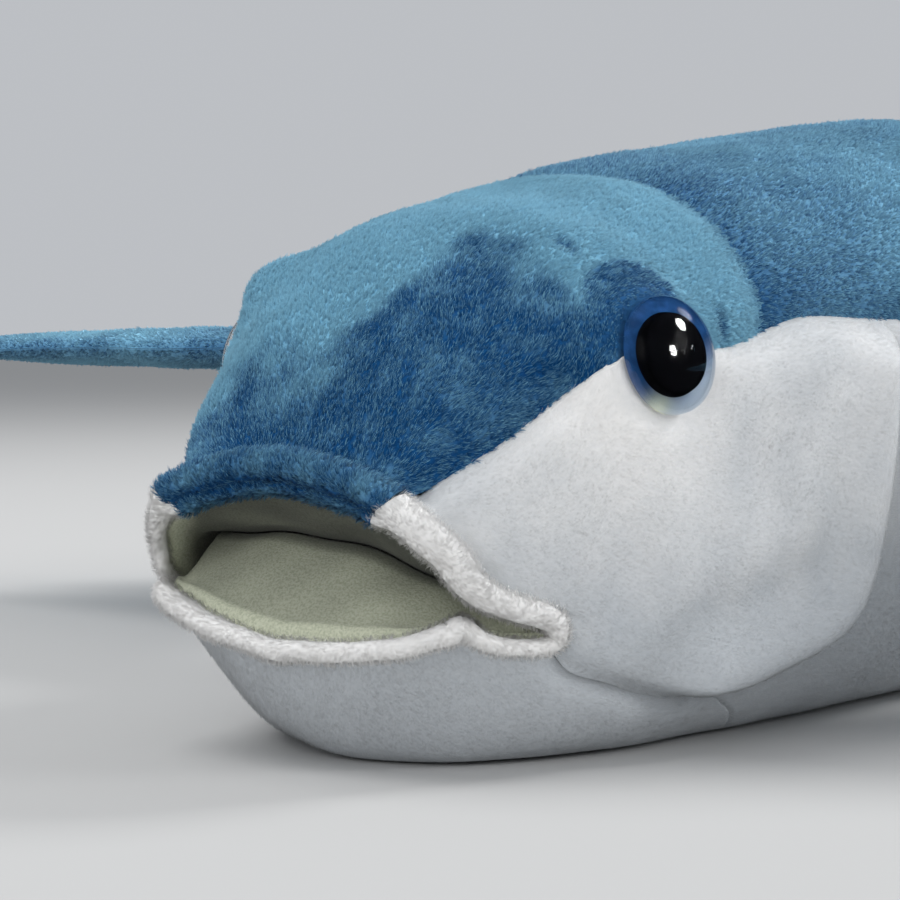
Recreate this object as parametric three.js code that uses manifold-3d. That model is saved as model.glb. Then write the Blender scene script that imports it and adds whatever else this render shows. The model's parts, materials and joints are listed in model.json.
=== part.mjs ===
import * as THREE from "three";
import { mergeVertices } from "three/addons/utils/BufferGeometryUtils.js";
import Module from "manifold-3d";

const kernel = await Module();
kernel.setup();

// Plush flying fish lying on its belly. Millimetres, +Z up, snout towards -Y, left side +X.

// Body outline
const HEAD_LENGTH = 93;
const TRUNK_LENGTH = 277;
const TAIL_FIN_LENGTH = 102;
const CROWN_HEIGHT = 72.6;
const BACK_HEIGHT = 95;
const HEAD_WIDTH = 75;
const BODY_WIDTH = 90;
const TAIL_ROOT_HEIGHT = 30;
const TAIL_ROOT_WIDTH = 12;
const TAIL_ROOT_LIFT = 36;
const BELLY_FLATTENING = 7;
const ROUND_TOP = 2.2;
const ROUND_BROW = 2.35;
const ROUND_CHIN = 1.8;
const ROUND_BELLY = 3;
const ROUND_TAIL = 2.3;
const FLANK_SEAM_HEIGHT = 60;

// Mouth
const SNOUT_WIDTH = 48.5;
const UPPER_LIP_HEIGHT = 40.5;
const LOWER_LIP_HEIGHT = 15.5;
const UPPER_LIP_RADIUS = 3.1;
const SIDE_LIP_RADIUS = 2.1;
const LOWER_LIP_RADIUS = 1.7;
const CORNER_LIP_RADIUS = 1.5;
const MOUTH_CORNER_DEPTH = 22.7;
const POCKET_DEPTH = 14.5;
const POCKET_SEAM_HEIGHT = 29.6;

// Fabric
const FABRIC = 2.4;
const LINING = 1.6;
const SEAM_GAP = 0.3;
const FILL_GAP = 0.8;
const GILL_LIFT = 4;
const GILL_TUCK = 8;

// Eyes
const EYE_DISTANCE = 39;
const EYE_LINE_HEIGHT = 53.8;
const EYE_TURN = 7;
const EYE_TILT = 12;
const EYE_PRESS = 7;
const EYE_DIAMETER = 16;
const EYE_HEIGHT = 5.4;
const PUPIL_DIAMETER = 11;
const STEM_DIAMETER = 5;
const STEM_LENGTH = 11;
const WASHER_DIAMETER = 13;
const WASHER_THICKNESS = 2;

// Fins
const FIN_EDGE = 1.5;
const FIN_QUILT = 1.7;
const FIN_GROOVE = 1;
const WING_LENGTH = 178;
const WING_ROOT = 44;
const WING_HEIGHT = 55;
const WING_SEAM_RADIUS = 3;
const PELVIC_LENGTH = 72;
const PELVIC_ROOT = 24;
const PELVIC_HEIGHT = 22;
const PELVIC_SEAM_RADIUS = 2.6;
const DORSAL_LENGTH = 36;
const DORSAL_ROOT = 50;
const DORSAL_SEAM_RADIUS = 2.4;
const ANAL_LENGTH = 18;
const ANAL_ROOT = 34;
const ANAL_SEAM_RADIUS = 2.4;
const TAIL_SEAM_RADIUS = 4.4;

const BODY_END = HEAD_LENGTH + TRUNK_LENGTH;
const LENGTH = BODY_END + TAIL_FIN_LENGTH;
const COLOURS = {
  blue: 0x3a76a5,
  white: 0xe1e4e6,
  lining: 0xaab296,
  fill: 0xf2f0ea,
  clear: 0x9fb6d8,
  black: 0x08080a,
  plastic: 0xd8d8d4,
};

const vec = (x, y, z) => new THREE.Vector3(x, y, z);
const clamp = THREE.MathUtils.clamp;
const lerp = THREE.MathUtils.lerp;

// A smooth curve through knots of distance and value.
function profile(...knots) {
  const at = knots.map(([x]) => x);
  const curve = new THREE.CubicInterpolant(at, knots.map(([, y]) => y), 1);
  return (x) => curve.evaluate(clamp(x, at[0], at.at(-1)))[0];
}

// Stations run from the snout (0) to the gill edge and on to the tail root.
const head = (share) => HEAD_LENGTH * share;
const trunk = (share) => HEAD_LENGTH + TRUNK_LENGTH * share;
const TAIL_MIDDLE = TAIL_ROOT_LIFT + TAIL_ROOT_HEIGHT / 2;
const NAPE_RISE = BACK_HEIGHT - CROWN_HEIGHT;

const topAt = profile(
  [0, UPPER_LIP_HEIGHT - 5],
  [head(0.035), UPPER_LIP_HEIGHT],
  [head(0.16), lerp(UPPER_LIP_HEIGHT, CROWN_HEIGHT, 0.56)],
  [head(0.32), CROWN_HEIGHT - 1.5],
  [head(0.55), CROWN_HEIGHT + NAPE_RISE * 0.23],
  [head(1), CROWN_HEIGHT + NAPE_RISE * 0.6],
  [trunk(0.24), BACK_HEIGHT],
  [trunk(0.56), lerp(BACK_HEIGHT, TAIL_MIDDLE + TAIL_ROOT_HEIGHT / 2, 0.35)],
  [trunk(0.82), lerp(BACK_HEIGHT, TAIL_MIDDLE + TAIL_ROOT_HEIGHT / 2, 0.82)],
  [trunk(1), TAIL_ROOT_LIFT + TAIL_ROOT_HEIGHT],
);
const bottomAt = profile(
  [0, LOWER_LIP_HEIGHT + 3],
  [head(0.026), LOWER_LIP_HEIGHT],
  [head(0.07), LOWER_LIP_HEIGHT * 0.56],
  [head(0.12), LOWER_LIP_HEIGHT * 0.22],
  [head(0.18), 0],
  [head(0.34), -BELLY_FLATTENING * 0.7],
  [head(0.6), -BELLY_FLATTENING * 0.95],
  [head(1), -BELLY_FLATTENING],
  [trunk(0.36), -BELLY_FLATTENING],
  [trunk(0.55), TAIL_ROOT_LIFT * 0.08],
  [trunk(0.78), TAIL_ROOT_LIFT * 0.56],
  [trunk(1), TAIL_ROOT_LIFT],
);
const widthAt = profile(
  [0, SNOUT_WIDTH * 0.474],
  [head(0.035), SNOUT_WIDTH / 2],
  [head(0.11), lerp(SNOUT_WIDTH, HEAD_WIDTH, 0.2) / 2],
  [head(0.22), lerp(SNOUT_WIDTH, HEAD_WIDTH, 0.56) / 2],
  [head(0.39), HEAD_WIDTH / 2],
  [head(0.65), lerp(HEAD_WIDTH, BODY_WIDTH, 0.5) / 2],
  [head(1), lerp(HEAD_WIDTH, BODY_WIDTH, 0.85) / 2],
  [trunk(0.22), BODY_WIDTH / 2],
  [trunk(0.55), lerp(BODY_WIDTH, TAIL_ROOT_WIDTH, 0.32) / 2],
  [trunk(0.82), lerp(BODY_WIDTH, TAIL_ROOT_WIDTH, 0.78) / 2],
  [trunk(1), TAIL_ROOT_WIDTH / 2],
);
const MOUTH_MIDDLE = (UPPER_LIP_HEIGHT + LOWER_LIP_HEIGHT) / 2;
const widestAt = profile(
  [0, MOUTH_MIDDLE - 2],
  [head(0.2), MOUTH_MIDDLE + 2],
  [head(0.39), lerp(MOUTH_MIDDLE, EYE_LINE_HEIGHT, 0.38)],
  [head(0.65), BACK_HEIGHT * 0.45],
  [head(1), BACK_HEIGHT * 0.485],
  [trunk(0.22), BACK_HEIGHT * 0.5],
  [trunk(0.55), BACK_HEIGHT * 0.49],
  [trunk(1), TAIL_MIDDLE],
);
const flankSeamAt = profile(
  [0, UPPER_LIP_HEIGHT - 6],
  [EYE_DISTANCE * 0.38, lerp(UPPER_LIP_HEIGHT - 6, EYE_LINE_HEIGHT, 0.49)],
  [EYE_DISTANCE * 0.8, EYE_LINE_HEIGHT + 1],
  [EYE_DISTANCE, EYE_LINE_HEIGHT + 0.4],
  [EYE_DISTANCE * 1.2, lerp(EYE_LINE_HEIGHT, FLANK_SEAM_HEIGHT, 0.5)],
  [EYE_DISTANCE * 1.48, FLANK_SEAM_HEIGHT - 0.5],
  [head(1), FLANK_SEAM_HEIGHT],
  [trunk(0.55), FLANK_SEAM_HEIGHT - 1],
  [trunk(1), TAIL_MIDDLE + 1],
);

// How square the body's section is, above and below its widest line: 2 is an ellipse.
const roundTopAt = profile(
  [0, ROUND_TOP],
  [head(0.215), ROUND_TOP],
  [EYE_DISTANCE * 0.92, ROUND_BROW],
  [head(0.65), ROUND_TOP],
  [head(1), ROUND_TOP],
);
const roundBellyAt = profile(
  [0, lerp(ROUND_CHIN, ROUND_BELLY, 0.25)],
  [head(0.055), ROUND_CHIN],
  [head(0.12), lerp(ROUND_CHIN, ROUND_BELLY, 0.04)],
  [head(0.215), lerp(ROUND_CHIN, ROUND_BELLY, 0.42)],
  [head(0.365), lerp(ROUND_CHIN, ROUND_BELLY, 0.92)],
  [head(0.65), ROUND_BELLY],
  [trunk(0.135), lerp(ROUND_BELLY, ROUND_TAIL, 0.3)],
  [trunk(0.39), lerp(ROUND_BELLY, ROUND_TAIL, 0.86)],
  [trunk(0.75), ROUND_TAIL],
);

// Round the body: 0 on the back ridge, 1 on the blue and white seam, 2 under the belly; minus on the right.
function roundAngle(s, t) {
  const rise = (flankSeamAt(s) - widestAt(s)) / (topAt(s) - widestAt(s));
  const seam = Math.acos(Math.pow(clamp(rise, 0.02, 0.98), roundTopAt(s) / 2));
  const k = Math.abs(t);
  return k < 1 ? seam * k : seam + (Math.PI - seam) * (k - 1);
}

function onBody(s, t) {
  const turn = t > 2 ? t - 4 : t;
  const a = roundAngle(s, turn);
  const above = a < Math.PI / 2;
  const power = 2 / (above ? roundTopAt(s) : roundBellyAt(s));
  const x = widthAt(s) * Math.pow(Math.max(Math.sin(a), 0), power);
  const reach = (above ? topAt(s) : bottomAt(s)) - widestAt(s);
  const z = widestAt(s) + reach * Math.pow(Math.abs(Math.cos(a)), power);
  return vec(turn < 0 ? -x : x, s - LENGTH / 2, z);
}

function outward(s, t) {
  const round = onBody(s, t + 0.02).sub(onBody(s, t - 0.02));
  const back = onBody(s + 0.4, t).sub(onBody(s - 0.4, t));
  return round.cross(back).normalize();
}

function roundAtHeight(s, height) {
  let low = 0;
  let high = 2;
  for (let i = 0; i < 40; i++) {
    const middle = (low + high) / 2;
    if (onBody(s, middle).z > height) low = middle;
    else high = middle;
  }
  return low;
}

// Each eye presses the fabric flat under it, a little aslant to the head.
const degrees = THREE.MathUtils.degToRad;
const EYE_RADIUS = EYE_DIAMETER / 2;
const eyePlace = onBody(EYE_DISTANCE, roundAtHeight(EYE_DISTANCE, EYE_LINE_HEIGHT));
const eyeAxis = vec(1, 0, 0).applyEuler(
  new THREE.Euler(0, -degrees(EYE_TILT), -degrees(EYE_TURN), "ZYX"),
);

// A point of the sewn skin, lifted off it or sunk under it; the belly lies flat on the table.
function skin(s, t, lift = 0) {
  const p = onBody(s, t).addScaledVector(outward(s, t), lift);
  p.z = Math.max(p.z, Math.max(0, -lift));
  const side = t < 0 ? vec(-1, 1, 1) : vec(1, 1, 1);
  const axis = eyeAxis.clone().multiply(side);
  const fromEye = p.clone().sub(eyePlace.clone().multiply(side));
  const height = fromEye.dot(axis);
  const away = fromEye.addScaledVector(axis, -height).length();
  const press = 1 - THREE.MathUtils.smoothstep(away, EYE_RADIUS, EYE_RADIUS + EYE_PRESS);
  return p.addScaledVector(axis, press * (lift - height));
}

// Solids
function solidOf(geometry) {
  for (const name of Object.keys(geometry.attributes)) {
    if (name !== "position") geometry.deleteAttribute(name);
  }
  const merged = mergeVertices(geometry, 1e-5);
  const faces = [];
  for (let i = 0; i < merged.index.count; i += 3) {
    const [a, b, c] = [0, 1, 2].map((k) => merged.index.getX(i + k));
    if (a !== b && b !== c && a !== c) faces.push(a, b, c);
  }
  const points = merged.attributes.position;
  const corner = [0, 1, 2].map(() => vec());
  let volume = 0;
  for (let i = 0; i < faces.length; i += 3) {
    corner.forEach((p, k) => p.fromBufferAttribute(points, faces[i + k]));
    volume += corner[0].dot(corner[1].clone().cross(corner[2]));
  }
  if (volume < 0) faces.reverse();
  return new kernel.Manifold(
    new kernel.Mesh({
      numProp: 3,
      vertProperties: new Float32Array(points.array),
      triVerts: new Uint32Array(faces),
    }),
  );
}

function geometryOf(solid) {
  const mesh = solid.getMesh();
  const points = new Float32Array(mesh.numVert * 3);
  for (let i = 0; i < mesh.numVert; i++) {
    const from = i * mesh.numProp;
    points.set(mesh.vertProperties.subarray(from, from + 3), i * 3);
  }
  const geometry = new THREE.BufferGeometry();
  geometry.setAttribute("position", new THREE.BufferAttribute(points, 3));
  geometry.setIndex(new THREE.BufferAttribute(mesh.triVerts, 1));
  return geometry;
}

const cut = (solid, ...tools) => {
  const left = tools.reduce((from, tool) => from.subtract(tool), solid);
  return left.decompose().sort((a, b) => b.volume() - a.volume())[0];
};

function meshFrom(points, faces) {
  const geometry = new THREE.BufferGeometry().setFromPoints(points);
  geometry.setIndex(faces);
  return solidOf(geometry);
}

// A closed sheet between two grids of points.
function sheet(columns, rows, front, rear) {
  const points = [];
  const faces = [];
  const across = rows.length;
  for (const place of [front, rear]) {
    for (const u of columns) for (const v of rows) points.push(place(u, v));
  }
  const other = columns.length * across;
  const quad = (a, b, c, d) => faces.push(a, b, c, a, c, d);
  for (let i = 0; i + 1 < columns.length; i++) {
    for (let j = 0; j + 1 < across; j++) {
      const k = i * across + j;
      quad(k, k + across, k + across + 1, k + 1);
      quad(other + k, other + k + 1, other + k + across + 1, other + k + across);
    }
  }
  for (let i = 0; i + 1 < columns.length; i++) {
    const near = i * across;
    const far = near + across - 1;
    quad(near, other + near, other + near + across, near + across);
    quad(far, far + across, other + far + across, other + far);
  }
  const last = (columns.length - 1) * across;
  for (let j = 0; j + 1 < across; j++) {
    quad(j, j + 1, other + j + 1, other + j);
    quad(last + j, other + last + j, other + last + j + 1, last + j + 1);
  }
  return meshFrom(points, faces);
}

// A closed tube through rings of points.
function tube(rings) {
  const points = rings.flat();
  const faces = [];
  const n = rings[0].length;
  for (let i = 0; i + 1 < rings.length; i++) {
    for (let j = 0; j < n; j++) {
      const a = i * n + j;
      const b = i * n + ((j + 1) % n);
      faces.push(a, b, b + n, a, b + n, a + n);
    }
  }
  for (const [ring, turned] of [[0, true], [rings.length - 1, false]]) {
    const middle = vec();
    rings[ring].forEach((p) => middle.addScaledVector(p, 1 / n));
    const hub = points.push(middle) - 1;
    for (let j = 0; j < n; j++) {
      const a = ring * n + j;
      const b = ring * n + ((j + 1) % n);
      if (turned) faces.push(hub, b, a);
      else faces.push(hub, a, b);
    }
  }
  return meshFrom(points, faces);
}

const steps = (from, to, count) =>
  Array.from({ length: count + 1 }, (_, i) => lerp(from, to, i / count));

// Turns and moves a lathe or cylinder, whose own axis is Y, onto a place and direction.
function placed(geometry, place, direction) {
  const turn = new THREE.Quaternion().setFromUnitVectors(vec(0, 1, 0), direction);
  return solidOf(geometry.applyQuaternion(turn).translate(...place));
}

function lathe(knots, place, direction, segments = 20) {
  const outline = [...knots, knots[0]].map(([r, h]) => new THREE.Vector2(r, h));
  return placed(new THREE.LatheGeometry(outline, segments), place, direction);
}

function rod(radius, from, to, place, direction, segments = 20) {
  const geometry = new THREE.CylinderGeometry(radius, radius, to - from, segments);
  return placed(geometry.translate(0, (from + to) / 2, 0), place, direction);
}

const mirrored = (solid) => solid.mirror([1, 0, 0]);

// Mouth rim: how far back it lies round the head, from the upper lip past the corner to the lower lip.
const CORNER = 1.378;
const LIP_JOIN = 1.449;
const corner = (share) => MOUTH_CORNER_DEPTH * share;
const rimAt = profile(
  [-0.5, corner(0.11)],
  [0, corner(0.119)],
  [0.5, corner(0.11)],
  [0.85, corner(0.115)],
  [1, corner(0.123)],
  [1.057, corner(0.141)],
  [1.109, corner(0.167)],
  [1.18, corner(0.229)],
  [1.246, corner(0.361)],
  [1.318, corner(0.515)],
  [1.334, corner(0.643)],
  [1.342, corner(0.802)],
  [1.353, corner(0.925)],
  [CORNER, MOUTH_CORNER_DEPTH],
  [1.412, corner(0.952)],
  [1.422, corner(0.833)],
  [1.431, corner(0.74)],
  [1.44, corner(0.608)],
  [LIP_JOIN, corner(0.489)],
  [1.466, corner(0.419)],
  [1.502, corner(0.357)],
  [1.58, corner(0.264)],
  [1.67, corner(0.187)],
  [1.766, corner(0.145)],
  [1.888, corner(0.11)],
  [2, corner(0.106)],
  [2.112, corner(0.11)],
);
const SIDE_LIP_LINE = [
  1, 1.057, 1.109, 1.15, 1.19, 1.23, 1.275, 1.315, 1.332, 1.341, 1.352, CORNER, 1.405, 1.42, 1.43, 1.44,
  LIP_JOIN,
];
const LOWER_LIP_HALF = [LIP_JOIN, 1.466, 1.502, 1.58, 1.67, 1.766, 1.888];
const lowerLipLine = [...LOWER_LIP_HALF, 2, ...LOWER_LIP_HALF.map((t) => 4 - t).reverse()];
const lipRadiusAt = profile(
  [0, SIDE_LIP_RADIUS],
  [1.2, SIDE_LIP_RADIUS],
  [1.3, lerp(SIDE_LIP_RADIUS, CORNER_LIP_RADIUS, 0.5)],
  [CORNER, CORNER_LIP_RADIUS],
  [1.42, CORNER_LIP_RADIUS],
  [1.5, lerp(LOWER_LIP_RADIUS, CORNER_LIP_RADIUS, 0.4)],
  [1.65, LOWER_LIP_RADIUS],
  [2, LOWER_LIP_RADIUS],
);
const LIP_DEPTH = FABRIC / 2;
const foldRound = (t) => (t > 2 ? t - 4 : t);
const rimPoint = (t) => skin(rimAt(Math.abs(foldRound(t))), foldRound(t), -LIP_DEPTH);

// A lip is a fabric roll along the rim, drawn through places round the head.
function lip(line, radiusOf, grown = 0, sides = 8) {
  const count = line.length - 1;
  const places = line.map(rimPoint);
  const pull = grown ? 0 : SEAM_GAP;
  const trim = (end, next) => end.addScaledVector(next.clone().sub(end).normalize(), pull);
  trim(places[0], places[1]);
  trim(places[count], places[count - 1]);
  const rings = places.map((p, i) => {
    const before = places[Math.max(i - 1, 0)];
    const along = places[Math.min(i + 1, count)].clone().sub(before).normalize();
    const t = foldRound(line[i]);
    const out = outward(rimAt(Math.abs(t)), t);
    const side = along.clone().cross(out).normalize();
    const up = side.clone().cross(along);
    const r = radiusOf(Math.abs(t)) + grown;
    return steps(0, 2 * Math.PI, sides).slice(0, sides).map((a) =>
      p.clone().addScaledVector(up, r * Math.cos(a)).addScaledVector(side, r * Math.sin(a)));
  });
  return tube(rings);
}

const upperLipRadius = () => UPPER_LIP_RADIUS;
const lips = (grown) => ({
  upper: lip(steps(-1, 1, 12), upperLipRadius, grown),
  left: lip(SIDE_LIP_LINE, lipRadiusAt, grown),
  lower: lip(lowerLipLine, lipRadiusAt, grown),
});
const lipRolls = lips(0);
const lipRoom = lips(SEAM_GAP);
const rightLip = mirrored(lipRolls.left);
const rightLipRoom = mirrored(lipRoom.left);
const allLipRoom = [lipRoom.upper, lipRoom.left, lipRoom.lower, rightLipRoom];

// Seams between the head panels, as how far back each lies round the head.
const napeAt = profile(
  [-0.5, head(0.76)],
  [0, head(0.81)],
  [0.5, head(0.76)],
  [1, head(0.63)],
);
const THROAT = 1.515;
const gillAt = profile(
  [1, head(0.99)],
  [1.12, head(0.957)],
  [1.26, head(0.905)],
  [1.35, head(0.884)],
  [1.42, head(0.847)],
  [1.46, head(0.785)],
  [1.485, head(0.7)],
  [1.5, head(0.613)],
  [THROAT, head(0.55)],
);
const chinSeamAt = profile(
  [CORNER, MOUTH_CORNER_DEPTH],
  [1.415, MOUTH_CORNER_DEPTH + head(0.005)],
  [1.441, head(0.259)],
  [1.475, head(0.296)],
  [1.49, head(0.344)],
  [1.503, head(0.441)],
  [THROAT, head(0.538)],
  [1.56, head(0.629)],
  [1.7, head(0.71)],
  [2, head(0.753)],
  [2.3, head(0.71)],
);

// Half a seam gap, measured along the body, for a seam that runs aslant round it.
function halfGap(curve, t) {
  const a = clamp(t - 0.01, 1, 2);
  const b = clamp(t + 0.01, 1, 2);
  const arc = onBody(curve(t), a).distanceTo(onBody(curve(t), b));
  const slope = (curve(b) - curve(a)) / Math.max(arc, 1e-6);
  return (SEAM_GAP / 2) * Math.hypot(1, slope);
}
const roundGap = (s) => SEAM_GAP / onBody(s, 0.99).distanceTo(onBody(s, 1.01)) / 50;

// A panel of skin: columns round the body, rows from its front edge to its rear edge.
function panel(columns, rows, front, rear, options = {}) {
  const { lift = () => 0, thickness = FABRIC } = options;
  const spot = (t, v) => {
    const k = Math.abs(t);
    const s = lerp(front(k), rear(k), v);
    const inset = roundGap(s);
    let edged = k;
    if (options.upTo === k) edged = k - inset;
    if (options.from === k) edged = k + inset;
    return [s, Math.sign(t) * edged, k];
  };
  const put = (extra) => (t, v) => {
    const [s, at, k] = spot(t, v);
    return skin(s, at, lift(s, k) - extra);
  };
  return sheet(columns, rows, put(0), put(thickness));
}

const crownColumns = steps(-1, 1, 10);
const crown = panel(
  crownColumns,
  [0, 0.14, 0.28, 0.4, 0.49, 0.566, 0.64, 0.713, 0.79, 0.9, 1],
  rimAt,
  (t) => napeAt(t) - SEAM_GAP / 2,
  { upTo: 1 },
);
const back = panel(
  crownColumns,
  [0, 0.04, ...steps(0.1, 1, 12)],
  (t) => napeAt(t) + SEAM_GAP / 2,
  () => BODY_END,
  { upTo: 1 },
);

// The gill cover stands proud of the body behind it.
const gillLift = (s, t) => {
  const edge = gillAt(t);
  const rise = THREE.MathUtils.smoothstep(s, edge - head(0.4), edge - head(0.02));
  return GILL_LIFT * rise * THREE.MathUtils.smoothstep(t, 1, 1.12);
};
const CHEEK_SEAM = [CORNER, 1.417, 1.437, 1.46, 1.478, 1.489, 1.497, 1.504, 1.511];
const cheekColumns = [1, 1.12, 1.22, 1.3, 1.338, ...CHEEK_SEAM];
const cheekFront = (t) => (t <= CORNER ? rimAt(t) : chinSeamAt(t) + halfGap(chinSeamAt, t));
const cheekRear = (t) => gillAt(t);
const cheekRows = [0, 0.13, 0.25, 0.345, 0.4, 0.46, 0.58, 0.72, 0.86, 1];
const cheek = (grown) => {
  const front = (t) => cheekFront(t) - grown;
  const rear = (t) => cheekRear(t) + grown;
  const lift = (s, t) => gillLift(s, t) + grown;
  const thickness = FABRIC + 2 * grown;
  return panel(cheekColumns, cheekRows, front, rear, { from: 1, lift, thickness });
};
const leftCheek = cheek(0);
const leftCheekRoom = cheek(SEAM_GAP);
const rightCheekRoom = mirrored(leftCheekRoom);

const chinHalf = [...CHEEK_SEAM, 1.56, 1.67, 1.77, 1.89];
const bothSides = (half) => [...half, 2, ...half.map((t) => t - 4 + 2 * (2 - t)).reverse()];
const chinColumns = bothSides(chinHalf).map((t) => (t < 0 ? 4 + t : t));
const wrapped = (place) => (t, v) => place(foldRound(t), v);
function wrapPanel(columns, rows, front, rear) {
  const put = (depth) =>
    wrapped((t, v) => {
      const k = Math.abs(t);
      return skin(lerp(front(k), rear(k), v), t, -depth);
    });
  return sheet(columns, rows, put(0), put(FABRIC));
}
const chin = wrapPanel(
  chinColumns,
  [0, 0.12, 0.3, 0.52, 0.76, 1],
  (t) => Math.min(rimAt(t), chinSeamAt(t) - 0.6),
  (t) => chinSeamAt(t) - halfGap(chinSeamAt, t),
);

const bellyHalf = [1.004, 1.12, 1.26, 1.4, 1.48, 1.511, 1.56, 1.67, 1.77, 1.89];
const bellyColumns = bothSides(bellyHalf).map((t) => (t < 0 ? 4 + t : t));
const bellyFront = (t) => {
  const behindChin = chinSeamAt(t) + halfGap(chinSeamAt, t);
  return t < THROAT ? Math.max(gillAt(t) - GILL_TUCK, behindChin) : behindChin;
};
const belly = wrapPanel(
  bellyColumns,
  [0, 0.035, ...steps(0.09, 1, 10)],
  bellyFront,
  () => BODY_END,
);

// Mouth pocket: the palate and the floor meet along a seam at the back of it.
const pocketX = profile([0, 0], [0.4, 8], [0.727, 17], [0.85, 22.5], [0.95, 26.5], [1, 28.5]);
const pocketBack = profile(
  [-0.4, POCKET_DEPTH + 0.3],
  [0, POCKET_DEPTH],
  [0.4, POCKET_DEPTH + 0.3],
  [0.727, lerp(POCKET_DEPTH, MOUTH_CORNER_DEPTH, 0.2)],
  [0.85, lerp(POCKET_DEPTH, MOUTH_CORNER_DEPTH, 0.42)],
  [0.95, lerp(POCKET_DEPTH, MOUTH_CORNER_DEPTH, 0.68)],
  [1, lerp(POCKET_DEPTH, MOUTH_CORNER_DEPTH, 0.8)],
);
const cornerHeight = onBody(MOUTH_CORNER_DEPTH, CORNER).z;
const pocketRise = profile(
  [-0.4, lerp(cornerHeight, POCKET_SEAM_HEIGHT, 0.97)],
  [0, POCKET_SEAM_HEIGHT],
  [0.4, lerp(cornerHeight, POCKET_SEAM_HEIGHT, 0.97)],
  [0.727, lerp(cornerHeight, POCKET_SEAM_HEIGHT, 0.74)],
  [0.85, lerp(cornerHeight, POCKET_SEAM_HEIGHT, 0.44)],
  [0.95, lerp(cornerHeight, POCKET_SEAM_HEIGHT, 0.15)],
  [1, cornerHeight],
);
const pocketSeam = (u) => {
  const k = Math.abs(u);
  const x = Math.sign(u) * pocketX(k) * (SNOUT_WIDTH / 48.5);
  return vec(x, pocketBack(k) - LENGTH / 2, pocketRise(k));
};
const POCKET_HALF = [0.3, 0.6, 0.8, 0.88, 0.925, 0.96];
const pocketColumns = [...POCKET_HALF.map((u) => -u).reverse(), 0, ...POCKET_HALF];
const pocketRows = steps(0, 1, 2);
const palateRim = (u) => rimPoint(CORNER * u);
const floorRim = (u) => rimPoint(u < 0 ? -2 - (2 - CORNER) * u : 2 - (2 - CORNER) * u);
const pocketPoint = (rim, bow, lift) => (u, v) => {
  const p = rim(u).lerp(pocketSeam(u), v);
  p.z += bow * Math.sin(Math.PI * v) * (1 - u * u) + lift;
  if (v > 1) p.y += 2 * FILL_GAP;
  return p;
};
const FLOOR_BOW = 1.2;
const FLOOR_DROP = LINING * 1.35;
const palate = cut(
  sheet(
    pocketColumns,
    pocketRows,
    pocketPoint(palateRim, 0, SEAM_GAP / 2),
    pocketPoint(palateRim, 0, SEAM_GAP / 2 + LINING),
  ),
  ...allLipRoom,
  leftCheekRoom,
  rightCheekRoom,
);
const floor = cut(
  sheet(
    pocketColumns,
    pocketRows,
    pocketPoint(floorRim, FLOOR_BOW, -SEAM_GAP / 2),
    pocketPoint(floorRim, FLOOR_BOW, -SEAM_GAP / 2 - FLOOR_DROP),
  ),
  ...allLipRoom,
  leftCheekRoom,
  rightCheekRoom,
);
const floorRoom = sheet(
  pocketColumns,
  [-0.2, ...pocketRows],
  pocketPoint(floorRim, FLOOR_BOW, 0),
  pocketPoint(floorRim, FLOOR_BOW, -FLOOR_DROP - 2 * SEAM_GAP),
);
const pocketRoom = sheet(
  [-1, ...pocketColumns, 1],
  [-0.6, ...pocketRows, 1.12],
  pocketPoint(palateRim, 0, LINING + FILL_GAP),
  pocketPoint(floorRim, FLOOR_BOW, -FLOOR_DROP - FILL_GAP),
);

// Eyes, on the seam beside the brow.
const PUPIL_RADIUS = PUPIL_DIAMETER / 2;
const STEM_RADIUS = STEM_DIAMETER / 2;
const EYE_FACETS = 14;
const eyeBase = eyePlace.clone().addScaledVector(eyeAxis, SEAM_GAP);
const dome = (radius, side, height, base) => [
  [radius, base],
  [radius, side],
  ...steps(0.25, 1, 4).map((k) => [
    radius * Math.cos((k * Math.PI) / 2),
    side + (height - side) * Math.sin((k * Math.PI) / 2),
  ]),
];
const innerHeight = EYE_HEIGHT - 0.8;
const recess = dome(PUPIL_RADIUS + SEAM_GAP, 1.8, innerHeight, 0);
const leftDome = lathe(
  [...dome(EYE_RADIUS, 1.2, EYE_HEIGHT, 0), ...recess.reverse()],
  eyeBase,
  eyeAxis,
  EYE_FACETS,
);
const leftPupil = lathe(
  [
    [0, -STEM_LENGTH],
    [STEM_RADIUS * 0.8, -STEM_LENGTH],
    [STEM_RADIUS, -STEM_LENGTH + 1],
    [STEM_RADIUS, 0],
    ...dome(PUPIL_RADIUS, 1.4, innerHeight - SEAM_GAP, 0),
  ],
  eyeBase,
  eyeAxis,
  EYE_FACETS,
);
const washerTop = -FABRIC - 2 * SEAM_GAP;
const leftWasher = lathe(
  [
    [STEM_RADIUS + SEAM_GAP, washerTop],
    [STEM_RADIUS + SEAM_GAP, washerTop - WASHER_THICKNESS],
    [WASHER_DIAMETER * 0.4, washerTop - WASHER_THICKNESS],
    [WASHER_DIAMETER / 2, washerTop - WASHER_THICKNESS * 0.5],
    [WASHER_DIAMETER / 2, washerTop],
  ],
  eyeBase,
  eyeAxis,
  EYE_FACETS,
);
const eyeSeat = rod(EYE_RADIUS + SEAM_GAP, -SEAM_GAP, 20, eyeBase, eyeAxis);
const stemHole = rod(STEM_RADIUS + SEAM_GAP, -20, 2, eyeBase, eyeAxis);
const washerWide = WASHER_DIAMETER / 2 + SEAM_GAP;
const washerSeat = rod(washerWide, -STEM_LENGTH, washerTop + SEAM_GAP, eyeBase, eyeAxis);
const washerRoom = rod(washerWide, -STEM_LENGTH - SEAM_GAP, 0, eyeBase, eyeAxis);
const pressed = EYE_RADIUS + EYE_PRESS * 0.8;
const pressRoom = rod(pressed, -FABRIC - FILL_GAP, 20, eyeBase, eyeAxis);
const eyeTools = [eyeSeat, stemHole, washerSeat];
const bothEyeTools = [...eyeTools, ...eyeTools.map(mirrored)];

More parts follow.
